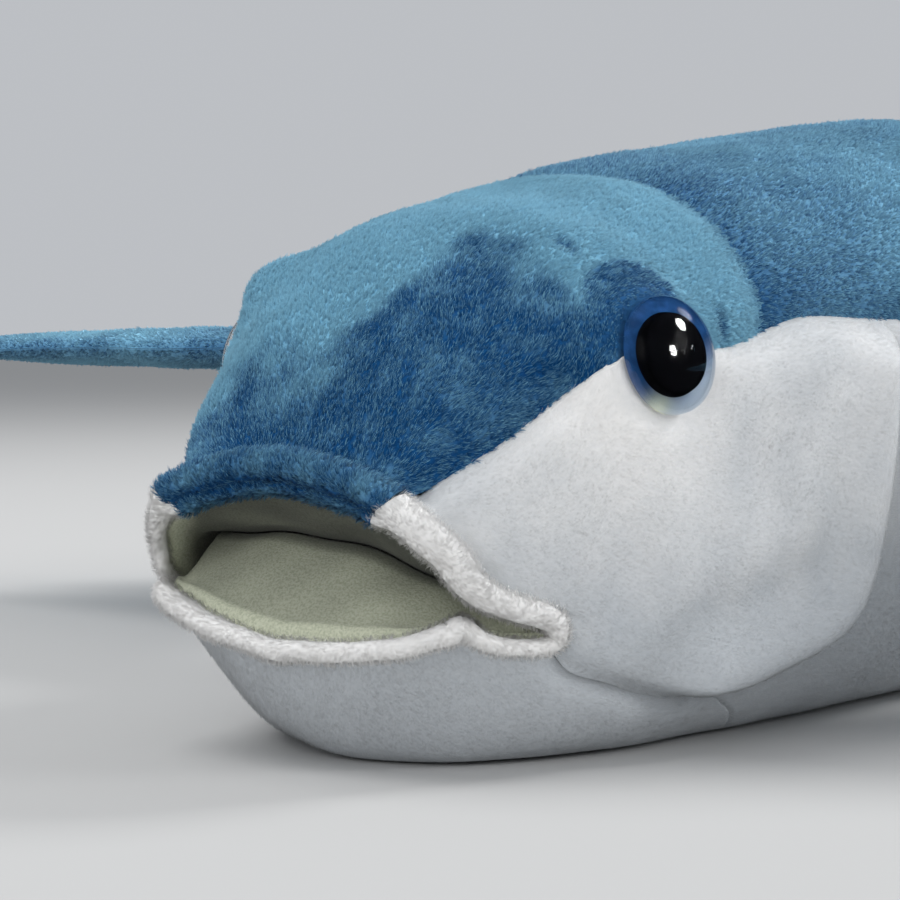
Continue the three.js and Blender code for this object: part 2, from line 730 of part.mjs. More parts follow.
// Fibre fill inside the skin.
const fillRings = [...steps(5, head(1), 6), ...steps(trunk(0.1), BODY_END - SEAM_GAP, 6)];
const fillRound = steps(-2, 2, 16).slice(0, 16);
const eyeHollow = (s, t) => {
  const away = onBody(s, Math.abs(t)).distanceTo(eyePlace);
  const near = 1 - THREE.MathUtils.smoothstep(away, EYE_RADIUS, EYE_RADIUS + 2 * EYE_PRESS);
  return 2 * FILL_GAP * near;
};
const fillPoint = (s) => (t) => skin(s, t, -FABRIC - FILL_GAP - eyeHollow(s, t));
const fillBlank = tube(fillRings.map((s) => fillRound.map(fillPoint(s))));
const fillTools = [washerRoom, pressRoom];
const fill = cut(fillBlank, pocketRoom, ...allLipRoom, ...fillTools, ...fillTools.map(mirrored));

// Fins. Each is two quilted faces over a batting, and swings on the rolled seam that sews it to the body.
function seamLine(start, end, out, radius, skinPoints) {
  const along = end.clone().sub(start).normalize();
  const rooms = skinPoints.map((p) => {
    const from = p.clone().sub(start);
    const across = from.addScaledVector(along, -from.dot(along));
    const height = across.dot(out);
    const aside = across.addScaledVector(out, -height).length();
    return height + Math.sqrt(Math.max((radius + SEAM_GAP) ** 2 - aside ** 2, 0));
  });
  const shift = out.clone().multiplyScalar(Math.max(...rooms));
  return [start.clone().add(shift), end.clone().add(shift)];
}

function fin({ line, out, radius, rays, angles, lengths, quilt = FIN_QUILT }) {
  const [start, end] = line;
  const along = end.clone().sub(start);
  const chord = along.length();
  along.normalize();
  const face = out.clone().cross(along).normalize();
  const first = radius + SEAM_GAP;
  const spot = (u, v, height) => {
    const angle = angles(v);
    const reach = lengths(v) * u;
    return start
      .clone()
      .addScaledVector(along, chord * v + reach * Math.sin(angle))
      .addScaledVector(out, first + reach * Math.cos(angle))
      .addScaledVector(face, height);
  };
  const puff = (u, v) => {
    const edge = (1 - u ** 6) * (1 - (2 * v - 1) ** 8);
    return edge * (0.5 + 0.5 * Math.min(1, u / 0.18));
  };
  const ridge = (v) => Math.abs(Math.sin(Math.PI * rays * v));
  const outside = (u, v) => FIN_EDGE + puff(u, v) * (FIN_GROOVE + quilt * ridge(v));
  const inside = (u, v) =>
    SEAM_GAP / 2 + puff(u, v) * (FIN_GROOVE * 0.75 + quilt * ridge(v));
  const columns = [0, 0.2, 0.65, 0.92, 1];
  const spread = steps(0, 1, 2 * rays);
  const faceSheet = (side) =>
    sheet(
      columns,
      spread,
      (u, v) => spot(u, v, side * outside(u, v)),
      (u, v) => spot(u, v, side * inside(u, v)),
    );
  const core = (u, v) => inside(u, v) - SEAM_GAP;
  const batting = sheet(
    columns.slice(0, -1),
    spread.slice(1, -1),
    (u, v) => spot(u, v, core(u, v)),
    (u, v) => spot(u, v, -core(u, v)),
  );
  const root = rod(radius, 0, chord, start, along, 12);
  const hinge = { start, end, axis: along, out };
  return { front: faceSheet(1), rear: faceSheet(-1), batting, root, hinge };
}

const spreadAngles = (from, to) => (v) => degrees(lerp(from, to, v));

function sideLine(from, to, height, radius) {
  const at = (s, z) => skin(s, roundAtHeight(s, z));
  const start = at(from, height);
  const end = at(to, height);
  start.z = height;
  end.z = height;
  const out = vec(0, 0, 1).cross(end.clone().sub(start)).normalize().negate();
  const points = [];
  for (const s of steps(from, to, 12)) {
    for (const z of steps(height - radius, height + radius, 8)) points.push(at(s, z));
  }
  return { line: seamLine(start, end, out, radius, points), out, radius };
}

const WING_START = head(1) + 11;
const leftWing = fin({
  ...sideLine(WING_START, WING_START + WING_ROOT, WING_HEIGHT, WING_SEAM_RADIUS),
  rays: 7,
  angles: spreadAngles(12, 60),
  lengths: profile(
    [0, WING_LENGTH * 0.965],
    [0.12, WING_LENGTH],
    [0.35, WING_LENGTH * 0.9],
    [0.7, WING_LENGTH * 0.66],
    [1, WING_LENGTH * 0.46],
  ),
});

const PELVIC_START = trunk(0.5);
const leftPelvic = fin({
  ...sideLine(PELVIC_START, PELVIC_START + PELVIC_ROOT, PELVIC_HEIGHT, PELVIC_SEAM_RADIUS),
  rays: 4,
  angles: spreadAngles(28, 66),
  lengths: profile(
    [0, PELVIC_LENGTH * 0.92],
    [0.25, PELVIC_LENGTH],
    [0.65, PELVIC_LENGTH * 0.8],
    [1, PELVIC_LENGTH * 0.58],
  ),
  quilt: FIN_QUILT * 0.8,
});

function ridgeLine(from, to, t, radius) {
  const start = skin(from, t);
  const end = skin(to, t);
  const along = end.clone().sub(start).normalize();
  const out = vec(1, 0, 0).cross(along).normalize();
  if (t === 2) out.negate();
  const points = [];
  for (const s of steps(from, to, 12)) {
    for (const shift of [-0.12, -0.06, 0, 0.06, 0.12]) points.push(onBody(s, t + shift));
  }
  return { line: seamLine(start, end, out, radius, points), out, radius };
}

const DORSAL_START = trunk(0.6);
const dorsal = fin({
  ...ridgeLine(DORSAL_START, DORSAL_START + DORSAL_ROOT, 0, DORSAL_SEAM_RADIUS),
  rays: 5,
  angles: spreadAngles(22, 58),
  lengths: profile(
    [0, DORSAL_LENGTH * 0.85],
    [0.2, DORSAL_LENGTH],
    [0.6, DORSAL_LENGTH * 0.74],
    [1, DORSAL_LENGTH * 0.55],
  ),
  quilt: FIN_QUILT * 0.6,
});

const ANAL_START = trunk(0.74);
const anal = fin({
  ...ridgeLine(ANAL_START, ANAL_START + ANAL_ROOT, 2, ANAL_SEAM_RADIUS),
  rays: 4,
  angles: spreadAngles(30, 62),
  lengths: profile(
    [0, ANAL_LENGTH * 0.8],
    [0.25, ANAL_LENGTH],
    [1, ANAL_LENGTH * 0.75],
  ),
  quilt: FIN_QUILT * 0.5,
});

const tailReach = TAIL_FIN_LENGTH - 2 * TAIL_SEAM_RADIUS - 2 * SEAM_GAP;
const tailEnd = BODY_END - LENGTH / 2 + TAIL_SEAM_RADIUS + SEAM_GAP;
const tail = fin({
  line: [
    vec(0, tailEnd, TAIL_ROOT_LIFT + 1),
    vec(0, tailEnd, TAIL_ROOT_LIFT + TAIL_ROOT_HEIGHT - 1),
  ],
  out: vec(0, 1, 0),
  radius: TAIL_SEAM_RADIUS,
  rays: 7,
  angles: spreadAngles(-24, 38),
  lengths: profile(
    [0, tailReach * 0.87],
    [0.13, tailReach * 1.04],
    [0.3, tailReach * 0.74],
    [0.52, tailReach * 0.46],
    [0.74, tailReach * 0.68],
    [0.9, tailReach * 0.96],
    [1, tailReach * 0.86],
  ),
});

// The assembly
const fish = new THREE.Group();
fish.name = "plush_flying_fish";
function add(name, solid, colour, roughness = 0.95) {
  const material = new THREE.MeshStandardMaterial({ color: COLOURS[colour], roughness });
  const mesh = new THREE.Mesh(geometryOf(solid), material);
  mesh.name = name;
  fish.add(mesh);
  return mesh;
}
function addPair(name, solid, colour, roughness) {
  add("left_" + name, solid, colour, roughness);
  add("right_" + name, mirrored(solid), colour, roughness);
}
function addFin(name, made, faces) {
  add(name + "_" + faces[0], made.front, "blue");
  add(name + "_" + faces[1], made.rear, "blue");
  add(name + "_batting", made.batting, "fill");
  add(name + "_root_seam", made.root, "blue").userData.hinge = made.hinge;
}
function addFinPair(name, made) {
  addFin("left_" + name, made, ["upper", "lower"]);
  const { front, rear, batting, root } = made;
  addPairRight(name, { front, rear, batting, root });
}
function addPairRight(name, made) {
  add("right_" + name + "_upper", mirrored(made.front), "blue");
  add("right_" + name + "_lower", mirrored(made.rear), "blue");
  add("right_" + name + "_batting", mirrored(made.batting), "fill");
  add("right_" + name + "_root_seam", mirrored(made.root), "blue");
}

const cheekRoom = [leftCheekRoom, rightCheekRoom];
add("crown_panel", cut(crown, ...allLipRoom, ...cheekRoom, ...bothEyeTools), "blue");
add("back_panel", back, "blue");
addPair("cheek", cut(leftCheek, ...allLipRoom, ...eyeTools), "white");
add("chin_panel", cut(chin, ...allLipRoom, floorRoom, leftCheekRoom, rightCheekRoom), "white");
add("belly_panel", cut(belly, leftCheekRoom, rightCheekRoom), "white");
add("upper_lip", lipRolls.upper, "blue");
add("left_lip", lipRolls.left, "white");
add("right_lip", rightLip, "white");
add("lower_lip", lipRolls.lower, "white");
add("mouth_palate", palate, "lining");
add("mouth_floor", floor, "lining");
add("fibre_fill", fill, "fill");
addPair("eye_dome", leftDome, "clear", 0.05);
addPair("eye_pupil", leftPupil, "black", 0.1);
addPair("eye_washer", leftWasher, "plastic", 0.4);
addFinPair("wing", leftWing);
addFinPair("pelvic", leftPelvic);
addFin("dorsal", dorsal, ["left", "right"]);
addFin("anal", anal, ["left", "right"]);
addFin("tail", tail, ["left", "right"]);

// The origin lies under the middle of the fish.
fish.position.y = -new THREE.Box3().setFromObject(fish).getCenter(vec()).y;

export default fish;
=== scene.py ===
"""The looks of the plush flying fish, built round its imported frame."""

import copy
import json
import math
from collections import namedtuple

import bpy
import numpy as np
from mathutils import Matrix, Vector


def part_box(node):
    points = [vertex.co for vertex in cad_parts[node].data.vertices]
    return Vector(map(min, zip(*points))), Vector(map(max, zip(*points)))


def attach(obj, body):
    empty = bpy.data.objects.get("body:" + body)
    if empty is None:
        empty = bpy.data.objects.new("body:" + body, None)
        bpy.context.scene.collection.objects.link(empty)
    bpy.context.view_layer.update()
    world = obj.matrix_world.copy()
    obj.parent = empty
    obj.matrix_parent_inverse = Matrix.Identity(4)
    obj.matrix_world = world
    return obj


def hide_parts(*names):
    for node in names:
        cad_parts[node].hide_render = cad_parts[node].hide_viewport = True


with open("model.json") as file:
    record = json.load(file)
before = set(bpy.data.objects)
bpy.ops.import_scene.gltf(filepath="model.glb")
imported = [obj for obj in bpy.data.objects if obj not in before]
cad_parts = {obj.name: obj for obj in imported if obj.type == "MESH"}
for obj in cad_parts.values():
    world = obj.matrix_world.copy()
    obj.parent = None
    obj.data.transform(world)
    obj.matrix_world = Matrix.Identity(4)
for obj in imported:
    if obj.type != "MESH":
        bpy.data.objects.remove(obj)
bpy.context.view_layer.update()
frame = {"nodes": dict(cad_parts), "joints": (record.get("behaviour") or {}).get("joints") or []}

# Sizes are in millimetres, as stations s from the snout to the tail root and heights above the table.
MM = 0.001
HEAD_LENGTH = 93.0
TRUNK_LENGTH = 277.0
BODY_END = HEAD_LENGTH + TRUNK_LENGTH
SNOUT_TO_ORIGIN = BODY_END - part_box("back_panel")[1].y / MM
CROWN_HEIGHT = 72.6
BACK_HEIGHT = 95.0
NAPE_RISE = BACK_HEIGHT - CROWN_HEIGHT
HEAD_WIDTH = 75.0
BODY_WIDTH = 90.0
TAIL_ROOT_HEIGHT = 30.0
TAIL_ROOT_WIDTH = 12.0
TAIL_ROOT_LIFT = 36.0
TAIL_MIDDLE = TAIL_ROOT_LIFT + TAIL_ROOT_HEIGHT / 2
TAIL_TOP = TAIL_ROOT_LIFT + TAIL_ROOT_HEIGHT
TAIL_CLOSE = 7.0
BELLY_FLATTENING = 7.0
CHIN_SAG = 3.2
ROUND_TOP = 2.2
ROUND_BROW = 2.35
ROUND_CHIN = 1.8
ROUND_BELLY = 3.0
ROUND_TAIL = 2.3
FLANK_SEAM_HEIGHT = 60.0
MIRROR = np.array([-1.0, 1.0, 1.0])

# Mouth; places round the body are 1 on the flank seam and 2 under the chin
SNOUT_WIDTH = 48.5
UPPER_LIP_HEIGHT = 40.5
LOWER_LIP_HEIGHT = 15.5
MOUTH_MIDDLE = (UPPER_LIP_HEIGHT + LOWER_LIP_HEIGHT) / 2
MOUTH_CORNER_DEPTH = 22.7
POCKET_DEPTH = 14.5
CORNER = 1.378
LIP_JOIN = 1.449
LIP_END = LIP_JOIN + 0.002
THROAT = 1.515

# Cloth
FABRIC = 2.4
LINING = 1.6
PILE_SINK = 0.5
GILL_LIFT = 4.0
GILL_TUCK = 8.0
GILL_SINK = 3.0
GILL_RIDGE = 1.3
GILL_VALLEY = 1.7
GILL_FOLD = 2.4
SEAM_GAP = 0.3
SEAM_DEPTH = 1.3
SEAM_WIDTH = 2.2
NAPE_DEPTH = 1.0
NAPE_WIDTH = 3.6
LUMP_RISE = 0.35
DIMPLE_RISE = 0.16
TABLE_ROUND = 2.0
TABLE_SINK = 0.25
FAR_CORNER_BULGE = 3.4
HEAD_CELL = 0.9
TRUNK_CELL = 1.7
FLOOR_BOW = 1.2
FLOOR_DROP = LINING * 1.35
LIP_DEPTH = FABRIC * 0.3
LIP_SIDES = 40
LIP_SLANT = 1.6
LIP_LUMPS = 0.06
# The upper lip's two rolls: forward and out from its middle, and radius
UPPER_ROLLS = ((-0.3, 0.5, 2.15), (1.35, -1.0, 1.2))

# How full of stuffing the padded pieces are
BODY_FILL = 0.85
LIP_FILL = 0.7
FIN_FILL = 0.5
ROOT_FILL = 0.6

# Eyes
EYE_DISTANCE = 39.0
EYE_LINE_HEIGHT = 53.8
EYE_TURN = math.radians(7)
EYE_TILT = math.radians(12)
EYE_PRESS = 7.0
EYE_RADIUS = 8.0
EYE_HEIGHT = 5.4
PUPIL_RADIUS = 4.4
PUPIL_HEIGHT = 2.2
STEM_RADIUS = 2.5
STEM_LENGTH = 11.0
RIGHT_EYE_SUNK = 2.4
FAR_BROW = 4.4
BROW_RISE = 1.7
SWELL_RISE = 1.1
DART_DEPTH = 2.2
SOCKET_DEPTH = 2.0
PINCH_DEPTH = 0.8

# Fins
FIN_EDGE = 1.5
FIN_QUILT = 1.7
FIN_GROOVE = 1.0
FIN_ROLL = 2.4
FIN_PUCKER = 0.22
FIN_SAG = 0.35

# Pile: how far its strands differ in length, rise and turn, their lengths and widths, and the settings
# of the short pile on white panels and the fuzz on white lips
PILE_POINTS = 4
TUFT = 0.22
SWIRL = 16
PILE_FLOOR = 0.15
TUFT_LENGTHS = 0.16
STRAND_LENGTHS = 0.12
TUFT_RISES = 8
STRAND_RISES = 5
STRAND_TURNS = 9
BLUE_LENGTH = 0.85
WHITE_LENGTH = 0.6
SLIGHT = 0.036
FINE = 0.06
COARSE = 0.1
# The short pile carries less painted shade than the white cloth under it
SHORT = {
    "density": 12.0, "length": WHITE_LENGTH, "width": SLIGHT, "lean": (32, 8), "jitter": 0.02,
    "mottle": 0.04, "strands": 1, "gather": 0.0, "pale": 0.2,
}
FUZZ = {
    "density": 22.0, "length": 0.85, "width": 0.04, "lean": (56, 26), "jitter": 0.02,
    "mottle": 0.03, "strands": 2, "gather": 0.3, "spread": 22,
}

# Camera, fitted to the head in the photograph's 900 pixel frame
FRAME_PIXELS = 900
FOCAL_PIXELS = 2555
HORIZON_PIXEL = 348
VIEW_AZIMUTH = math.radians(38)
CAMERA_HEIGHT = 55.0
CAMERA_DEPTH = 330.0
CAMERA_ASIDE = 23.9
SNOUT_Y = 1.0 - SNOUT_TO_ORIGIN

# Colours, linear: each plush as a painted lit and a painted shaded copy of one colour, its sheen tint,
# and painted shade for the hollows between tufts
BLUE_PAINTED_LIT = (0.235, 0.51, 0.67)
BLUE_PAINTED_SHADE = (0.004, 0.074, 0.222)
BLUE_SHEEN = (0.55, 0.82, 1.0)
BLUE_HOLLOW_SHADE = (0.62, 0.7, 0.78)
WHITE_PAINTED_LIT = (0.95, 0.94, 0.92)
WHITE_PAINTED_SHADE = (0.53, 0.56, 0.585)
WHITE_HOLLOW_SHADE = (0.95, 0.955, 0.96)
LINING_PAINTED_LIT = (0.6, 0.62, 0.48)
LINING_PAINTED_SHADE = (0.1, 0.104, 0.085)
LINING_HOLLOW_SHADE = (0.74, 0.76, 0.72)
PLAIN = (1.0, 1.0, 1.0)
FIBRE = (0.86, 0.84, 0.78)
FIBRE_SHADE = (0.66, 0.64, 0.6)
IRIS_BLUE = (0.015, 0.056, 0.16)
# Painted reflection of the white cloth seen through the clear rim, on the iris's lower side
IRIS_PAINTED_REFLECTION = (0.54, 0.62, 0.68)
# Painted caustic: a spot of light painted where the dome would focus it
IRIS_PAINTED_CAUSTIC = (0.95, 0.98, 0.62)
PUPIL_BLACK = (0.004, 0.004, 0.005)
WASHER_WHITE = (0.68, 0.68, 0.65)
FLOOR_PALE = (0.5, 0.5, 0.495)
FLOOR_REACH = 9000.0
SKY = (0.92, 0.95, 1.0, 1)
SKY_STRENGTH = 0.55

# Lamps: name, place and target in metres, size, power, and whether it only glints in the eyes
LEFT_EYE = (0.037, -0.195, 0.054)
LAMPS = (
    ("back", (0.59, 1.27, 1.14), (0.03, -0.17, 0.06), 0.44, 16, False),
    ("side", (1.51, 0.67, 0.75), (0.03, -0.17, 0.05), 0.6, 8, False),
    ("top", (-0.6, -0.4, 1.25), (0, -0.1, 0.04), 1.1, 11, False),
    ("fill", (0.55, -1.5, 0.6), (0, -0.15, 0.04), 1.0, 5.5, False),
    ("high_glint", (0.6, 0.36, 0.6), LEFT_EYE, 0.2, 3.5, True),
    ("low_glint", (0.872, 0.013, 0.325), LEFT_EYE, 0.17, 2.5, True),
)

DRAFT = 1.0


# Curves through knots, with each knot's slope the mean of its neighbours' slopes
def profile(*knots):
    x, y = (np.array(row, float) for row in zip(*knots))
    secant = np.diff(y) / np.diff(x)
    slope = np.concatenate([secant[:1], (secant[:-1] + secant[1:]) / 2, secant[-1:]])

    def at(value):
        v = np.clip(np.asarray(value, float), x[0], x[-1])
        i = np.clip(np.searchsorted(x, v, side="right") - 1, 0, len(x) - 2)
        step = x[i + 1] - x[i]
        p = (v - x[i]) / step
        start = (1 + 2 * p) * (1 - p) ** 2 * y[i] + p * (1 - p) ** 2 * step * slope[i]
        end = p * p * (3 - 2 * p) * y[i + 1] + p * p * (p - 1) * step * slope[i + 1]
        return start + end

    return at


def scaled(size, *knots):
    """A profile whose heights are shares of a size."""
    return profile(*((x, y * size) for x, y in knots))


def lerp(a, b, k):
    return a + (b - a) * k


def smoothstep(v, low, high):
    k = np.clip((v - low) / (high - low), 0, 1)
    return k * k * (3 - 2 * k)


def bump(v, middle, width):
    return np.exp(-(((v - middle) / width) ** 2))


def unit(v):
    return v / np.maximum(np.linalg.norm(v, axis=-1, keepdims=True), 1e-9)


def dot(a, b):
    return (a * b).sum(-1)


def ripple(points, scale, seed, waves=14):
    """Smooth seeded noise of about -1 to 1, from plane waves in all directions."""
    rng = np.random.default_rng(seed)
    ways = unit(rng.normal(size=(waves, 3))) * rng.uniform(0.7, 1.4, (waves, 1))
    phases = rng.uniform(0, 2 * math.pi, waves)
    total = 0
    for way, phase in zip(ways, phases):
        total = total + np.cos(points @ way * (2 * math.pi / scale) + phase)
    return total / math.sqrt(waves)


def head(share):
    return HEAD_LENGTH * share


def trunk(share):
    return HEAD_LENGTH + TRUNK_LENGTH * share


def corner(share):
    return MOUTH_CORNER_DEPTH * share


top_at = profile(
    (0, UPPER_LIP_HEIGHT - 5), (head(0.035), UPPER_LIP_HEIGHT),
    (head(0.16), lerp(UPPER_LIP_HEIGHT, CROWN_HEIGHT, 0.56)), (head(0.32), CROWN_HEIGHT - 1.5),
    (head(0.55), CROWN_HEIGHT + NAPE_RISE * 0.23), (head(1), CROWN_HEIGHT + NAPE_RISE * 0.6),
    (trunk(0.24), BACK_HEIGHT),
    (trunk(0.56), lerp(BACK_HEIGHT, TAIL_TOP, 0.35)),
    (trunk(0.82), lerp(BACK_HEIGHT, TAIL_TOP, 0.82)),
    (trunk(1), TAIL_TOP),
)
bottom_at = profile(
    (0, LOWER_LIP_HEIGHT + 3), (head(0.026), LOWER_LIP_HEIGHT), (head(0.07), LOWER_LIP_HEIGHT * 0.56),
    (head(0.12), LOWER_LIP_HEIGHT * 0.22), (head(0.18), 0), (head(0.34), -BELLY_FLATTENING * 0.7),
    (head(0.6), -BELLY_FLATTENING * 0.95), (head(1), -BELLY_FLATTENING),
    (trunk(0.36), -BELLY_FLATTENING), (trunk(0.55), TAIL_ROOT_LIFT * 0.08),
    (trunk(0.78), TAIL_ROOT_LIFT * 0.56), (trunk(1), TAIL_ROOT_LIFT),
)
width_at = profile(
    (0, SNOUT_WIDTH * 0.474), (head(0.035), SNOUT_WIDTH / 2),
    (head(0.11), lerp(SNOUT_WIDTH, HEAD_WIDTH, 0.2) / 2),
    (head(0.22), lerp(SNOUT_WIDTH, HEAD_WIDTH, 0.56) / 2), (head(0.39), HEAD_WIDTH / 2),
    (head(0.65), lerp(HEAD_WIDTH, BODY_WIDTH, 0.5) / 2),
    (head(1), lerp(HEAD_WIDTH, BODY_WIDTH, 0.85) / 2), (trunk(0.22), BODY_WIDTH / 2),
    (trunk(0.55), lerp(BODY_WIDTH, TAIL_ROOT_WIDTH, 0.32) / 2),
    (trunk(0.82), lerp(BODY_WIDTH, TAIL_ROOT_WIDTH, 0.78) / 2), (trunk(1), TAIL_ROOT_WIDTH / 2),
)
widest_at = profile(
    (0, MOUTH_MIDDLE - 2), (head(0.2), MOUTH_MIDDLE + 2),
    (head(0.39), lerp(MOUTH_MIDDLE, EYE_LINE_HEIGHT, 0.38)), (head(0.65), BACK_HEIGHT * 0.45),
    (head(1), BACK_HEIGHT * 0.485), (trunk(0.22), BACK_HEIGHT * 0.5), (trunk(0.55), BACK_HEIGHT * 0.49),
    (trunk(1), TAIL_MIDDLE),
)
flank_seam_at = profile(
    (0, UPPER_LIP_HEIGHT - 6), (EYE_DISTANCE * 0.38, lerp(UPPER_LIP_HEIGHT - 6, EYE_LINE_HEIGHT, 0.42)),
    (EYE_DISTANCE * 0.64, lerp(UPPER_LIP_HEIGHT - 6, EYE_LINE_HEIGHT, 0.78)),
    (EYE_DISTANCE * 0.8, EYE_LINE_HEIGHT + 0.8), (EYE_DISTANCE, EYE_LINE_HEIGHT + 0.8),
    (EYE_DISTANCE * 1.2, EYE_LINE_HEIGHT + 1.4),
    (EYE_DISTANCE * 1.45, lerp(EYE_LINE_HEIGHT, FLANK_SEAM_HEIGHT, 0.42)),
    (EYE_DISTANCE * 1.65, FLANK_SEAM_HEIGHT - 1.2), (EYE_DISTANCE * 1.85, FLANK_SEAM_HEIGHT + 0.2),
    (head(1), FLANK_SEAM_HEIGHT), (trunk(0.55), FLANK_SEAM_HEIGHT - 1), (trunk(1), TAIL_MIDDLE + 1),
)

# How square the body's section is above and below its widest line: 2 is an ellipse
round_top_at = profile(
    (0, ROUND_TOP), (head(0.215), ROUND_TOP), (EYE_DISTANCE * 0.92, ROUND_BROW),
    (head(0.65), ROUND_TOP), (head(1), ROUND_TOP),
)
round_belly_at = profile(
    (0, lerp(ROUND_CHIN, ROUND_BELLY, 0.25)), (head(0.055), ROUND_CHIN),
    (head(0.12), lerp(ROUND_CHIN, ROUND_BELLY, 0.04)),
    (head(0.215), lerp(ROUND_CHIN, ROUND_BELLY, 0.42)),
    (head(0.365), lerp(ROUND_CHIN, ROUND_BELLY, 0.92)), (head(0.65), ROUND_BELLY),
    (trunk(0.135), lerp(ROUND_BELLY, ROUND_TAIL, 0.3)),
    (trunk(0.39), lerp(ROUND_BELLY, ROUND_TAIL, 0.86)), (trunk(0.75), ROUND_TAIL),
)

# Where the mouth rim and the head's seams lie, as stations round the body
rim_at = scaled(
    MOUTH_CORNER_DEPTH,
    (-0.5, 0.11), (0, 0.119), (0.5, 0.11), (0.85, 0.115), (1, 0.123), (1.057, 0.141), (1.109, 0.167),
    (1.18, 0.229), (1.246, 0.361), (1.318, 0.515), (1.334, 0.643), (1.342, 0.802), (1.353, 0.925),
    (CORNER, 1), (1.412, 0.952), (1.422, 0.833), (1.431, 0.74), (1.44, 0.608), (LIP_JOIN, 0.489),
    (1.466, 0.419), (1.502, 0.357), (1.58, 0.264), (1.67, 0.187), (1.766, 0.145), (1.888, 0.11),
    (2, 0.106), (2.112, 0.11),
)
nape_at = profile((-0.5, head(0.725)), (0, head(0.75)), (0.5, head(0.725)), (1, head(0.675)))
gill_at = scaled(
    HEAD_LENGTH,
    (1, 0.99), (1.12, 0.957), (1.26, 0.905), (1.35, 0.884), (1.42, 0.847), (1.46, 0.785), (1.485, 0.7),
    (1.5, 0.613), (THROAT, 0.55),
)
chin_seam_at = profile(
    (CORNER, corner(1)), (1.415, corner(1) + head(0.005)), (1.441, head(0.259)), (1.475, head(0.296)),
    (1.49, head(0.344)), (1.503, head(0.441)), (THROAT, head(0.538)), (1.56, head(0.629)),
    (1.7, head(0.71)), (2, head(0.753)), (2.3, head(0.71)),
)


# The body. t is 0 on the back ridge, 1 on the blue and white seam and 2 under the belly, and it is less
# than 0 on the right side.
def fold_round(t):
    return np.where(t > 2, t - 4, t)


def on_body(s, t):
    s, t = np.broadcast_arrays(np.asarray(s, float), fold_round(np.asarray(t, float)))
    top, widest = top_at(s), widest_at(s)
    rise = np.clip((flank_seam_at(s) - widest) / (top - widest), 0.02, 0.98)
    seam = np.arccos(rise ** (round_top_at(s) / 2))
    k = np.abs(t)
    angle = np.where(k < 1, seam * k, seam + (math.pi - seam) * (k - 1))
    above = angle < math.pi / 2
    power = 2 / np.where(above, round_top_at(s), round_belly_at(s))
    x = width_at(s) * np.maximum(np.sin(angle), 0) ** power
    z = widest + (np.where(above, top, bottom_at(s)) - widest) * np.abs(np.cos(angle)) ** power
    return np.stack([np.where(t < 0, -x, x), s - SNOUT_TO_ORIGIN, z], -1)


def outward(s, t):
    s, t = np.asarray(s, float), np.asarray(t, float)
    way_round = on_body(s, t + 0.02) - on_body(s, t - 0.02)
    way_back = on_body(s + 0.4, t) - on_body(s - 0.4, t)
    return unit(np.cross(way_round, way_back))


def round_at_height(s, height):
    low, high = 0.0, 2.0
    for _ in range(40):
        middle = (low + high) / 2
        if on_body(s, middle)[2] > height:
            low = middle
        else:
            high = middle
    return low


eye_place = on_body(EYE_DISTANCE, round_at_height(EYE_DISTANCE, EYE_LINE_HEIGHT))
eye_axis = np.array([
    math.cos(EYE_TURN) * math.cos(EYE_TILT), -math.sin(EYE_TURN) * math.cos(EYE_TILT), math.sin(EYE_TILT)
])
eye_back = unit(np.cross([0, 0, 1], eye_axis))
eye_up = np.cross(eye_axis, eye_back)


def eye_frame(points):
    """Distances from the eye on a point's own side: towards the tail, upwards, and off the head."""
    apart = points * np.where(points[..., :1] < 0, MIRROR, 1.0) - eye_place
    return dot(apart, eye_back), dot(apart, eye_up), dot(apart, eye_axis)


def line_round(edge, low, high, count):
    """Points along an edge that is given as stations round the body."""
    t = np.linspace(low, high, count)
    return on_body(edge(t), t)


FLANK_LINE = on_body(np.linspace(4, BODY_END, 420), 1.0)
SEAM_LINES = np.concatenate([FLANK_LINE, line_round(chin_seam_at, CORNER, THROAT, 160)])
NAPE_LINE = line_round(nape_at, 0, 1, 80)
GILL_LINE = line_round(gill_at, 1, THROAT, 300)


def from_line(points, line):
    """Distance to the nearest point of a line, taking both sides alike."""
    flat = points.reshape(-1, 3) * 1.0
    flat[:, 0] = np.abs(flat[:, 0])
    nearest = np.empty(len(flat))
    for i in range(0, len(flat), 4000):
        apart = flat[i : i + 4000, None] - line[None]
        nearest[i : i + 4000] = np.sqrt((apart**2).sum(-1).min(1))
    return nearest.reshape(points.shape[:-1])


# Relief that the stuffing, seams and folds give to the skin.
# How far the eye's socket reaches, by the angle about the eye: 90 is above it and 180 in front of it
socket_at = profile(
    (40, 8.5), (56, 10.4), (75, 13.0), (102, 13.2), (121, 12.4), (140, 11.3), (170, 10.7), (190, 9)
)


def eye_socket(points):
    """Distance from the socket's edge, less than 0 inside it, and how far a point lies in the socket's arc
    and in the part of the arc that is in front of the eye."""
    back, up, _ = eye_frame(points)
    angle = np.degrees(np.arctan2(up, back)) % 360
    held = smoothstep(angle, 35, 60) * (1 - smoothstep(angle, 172, 190))
    return np.hypot(back, up) - socket_at(angle), held, smoothstep(angle, 95, 118)


def eye_dents(points):
    """A pinch above the brow and one behind the eye."""
    back, up, _ = eye_frame(points)
    return bump(np.hypot((back + 5.4) / 0.8, (up - 17) / 1.5), 0, 1) + bump(
        np.hypot((back - 14.4) / 1.0, (up - 4.4) / 2.4), 0, 1
    )


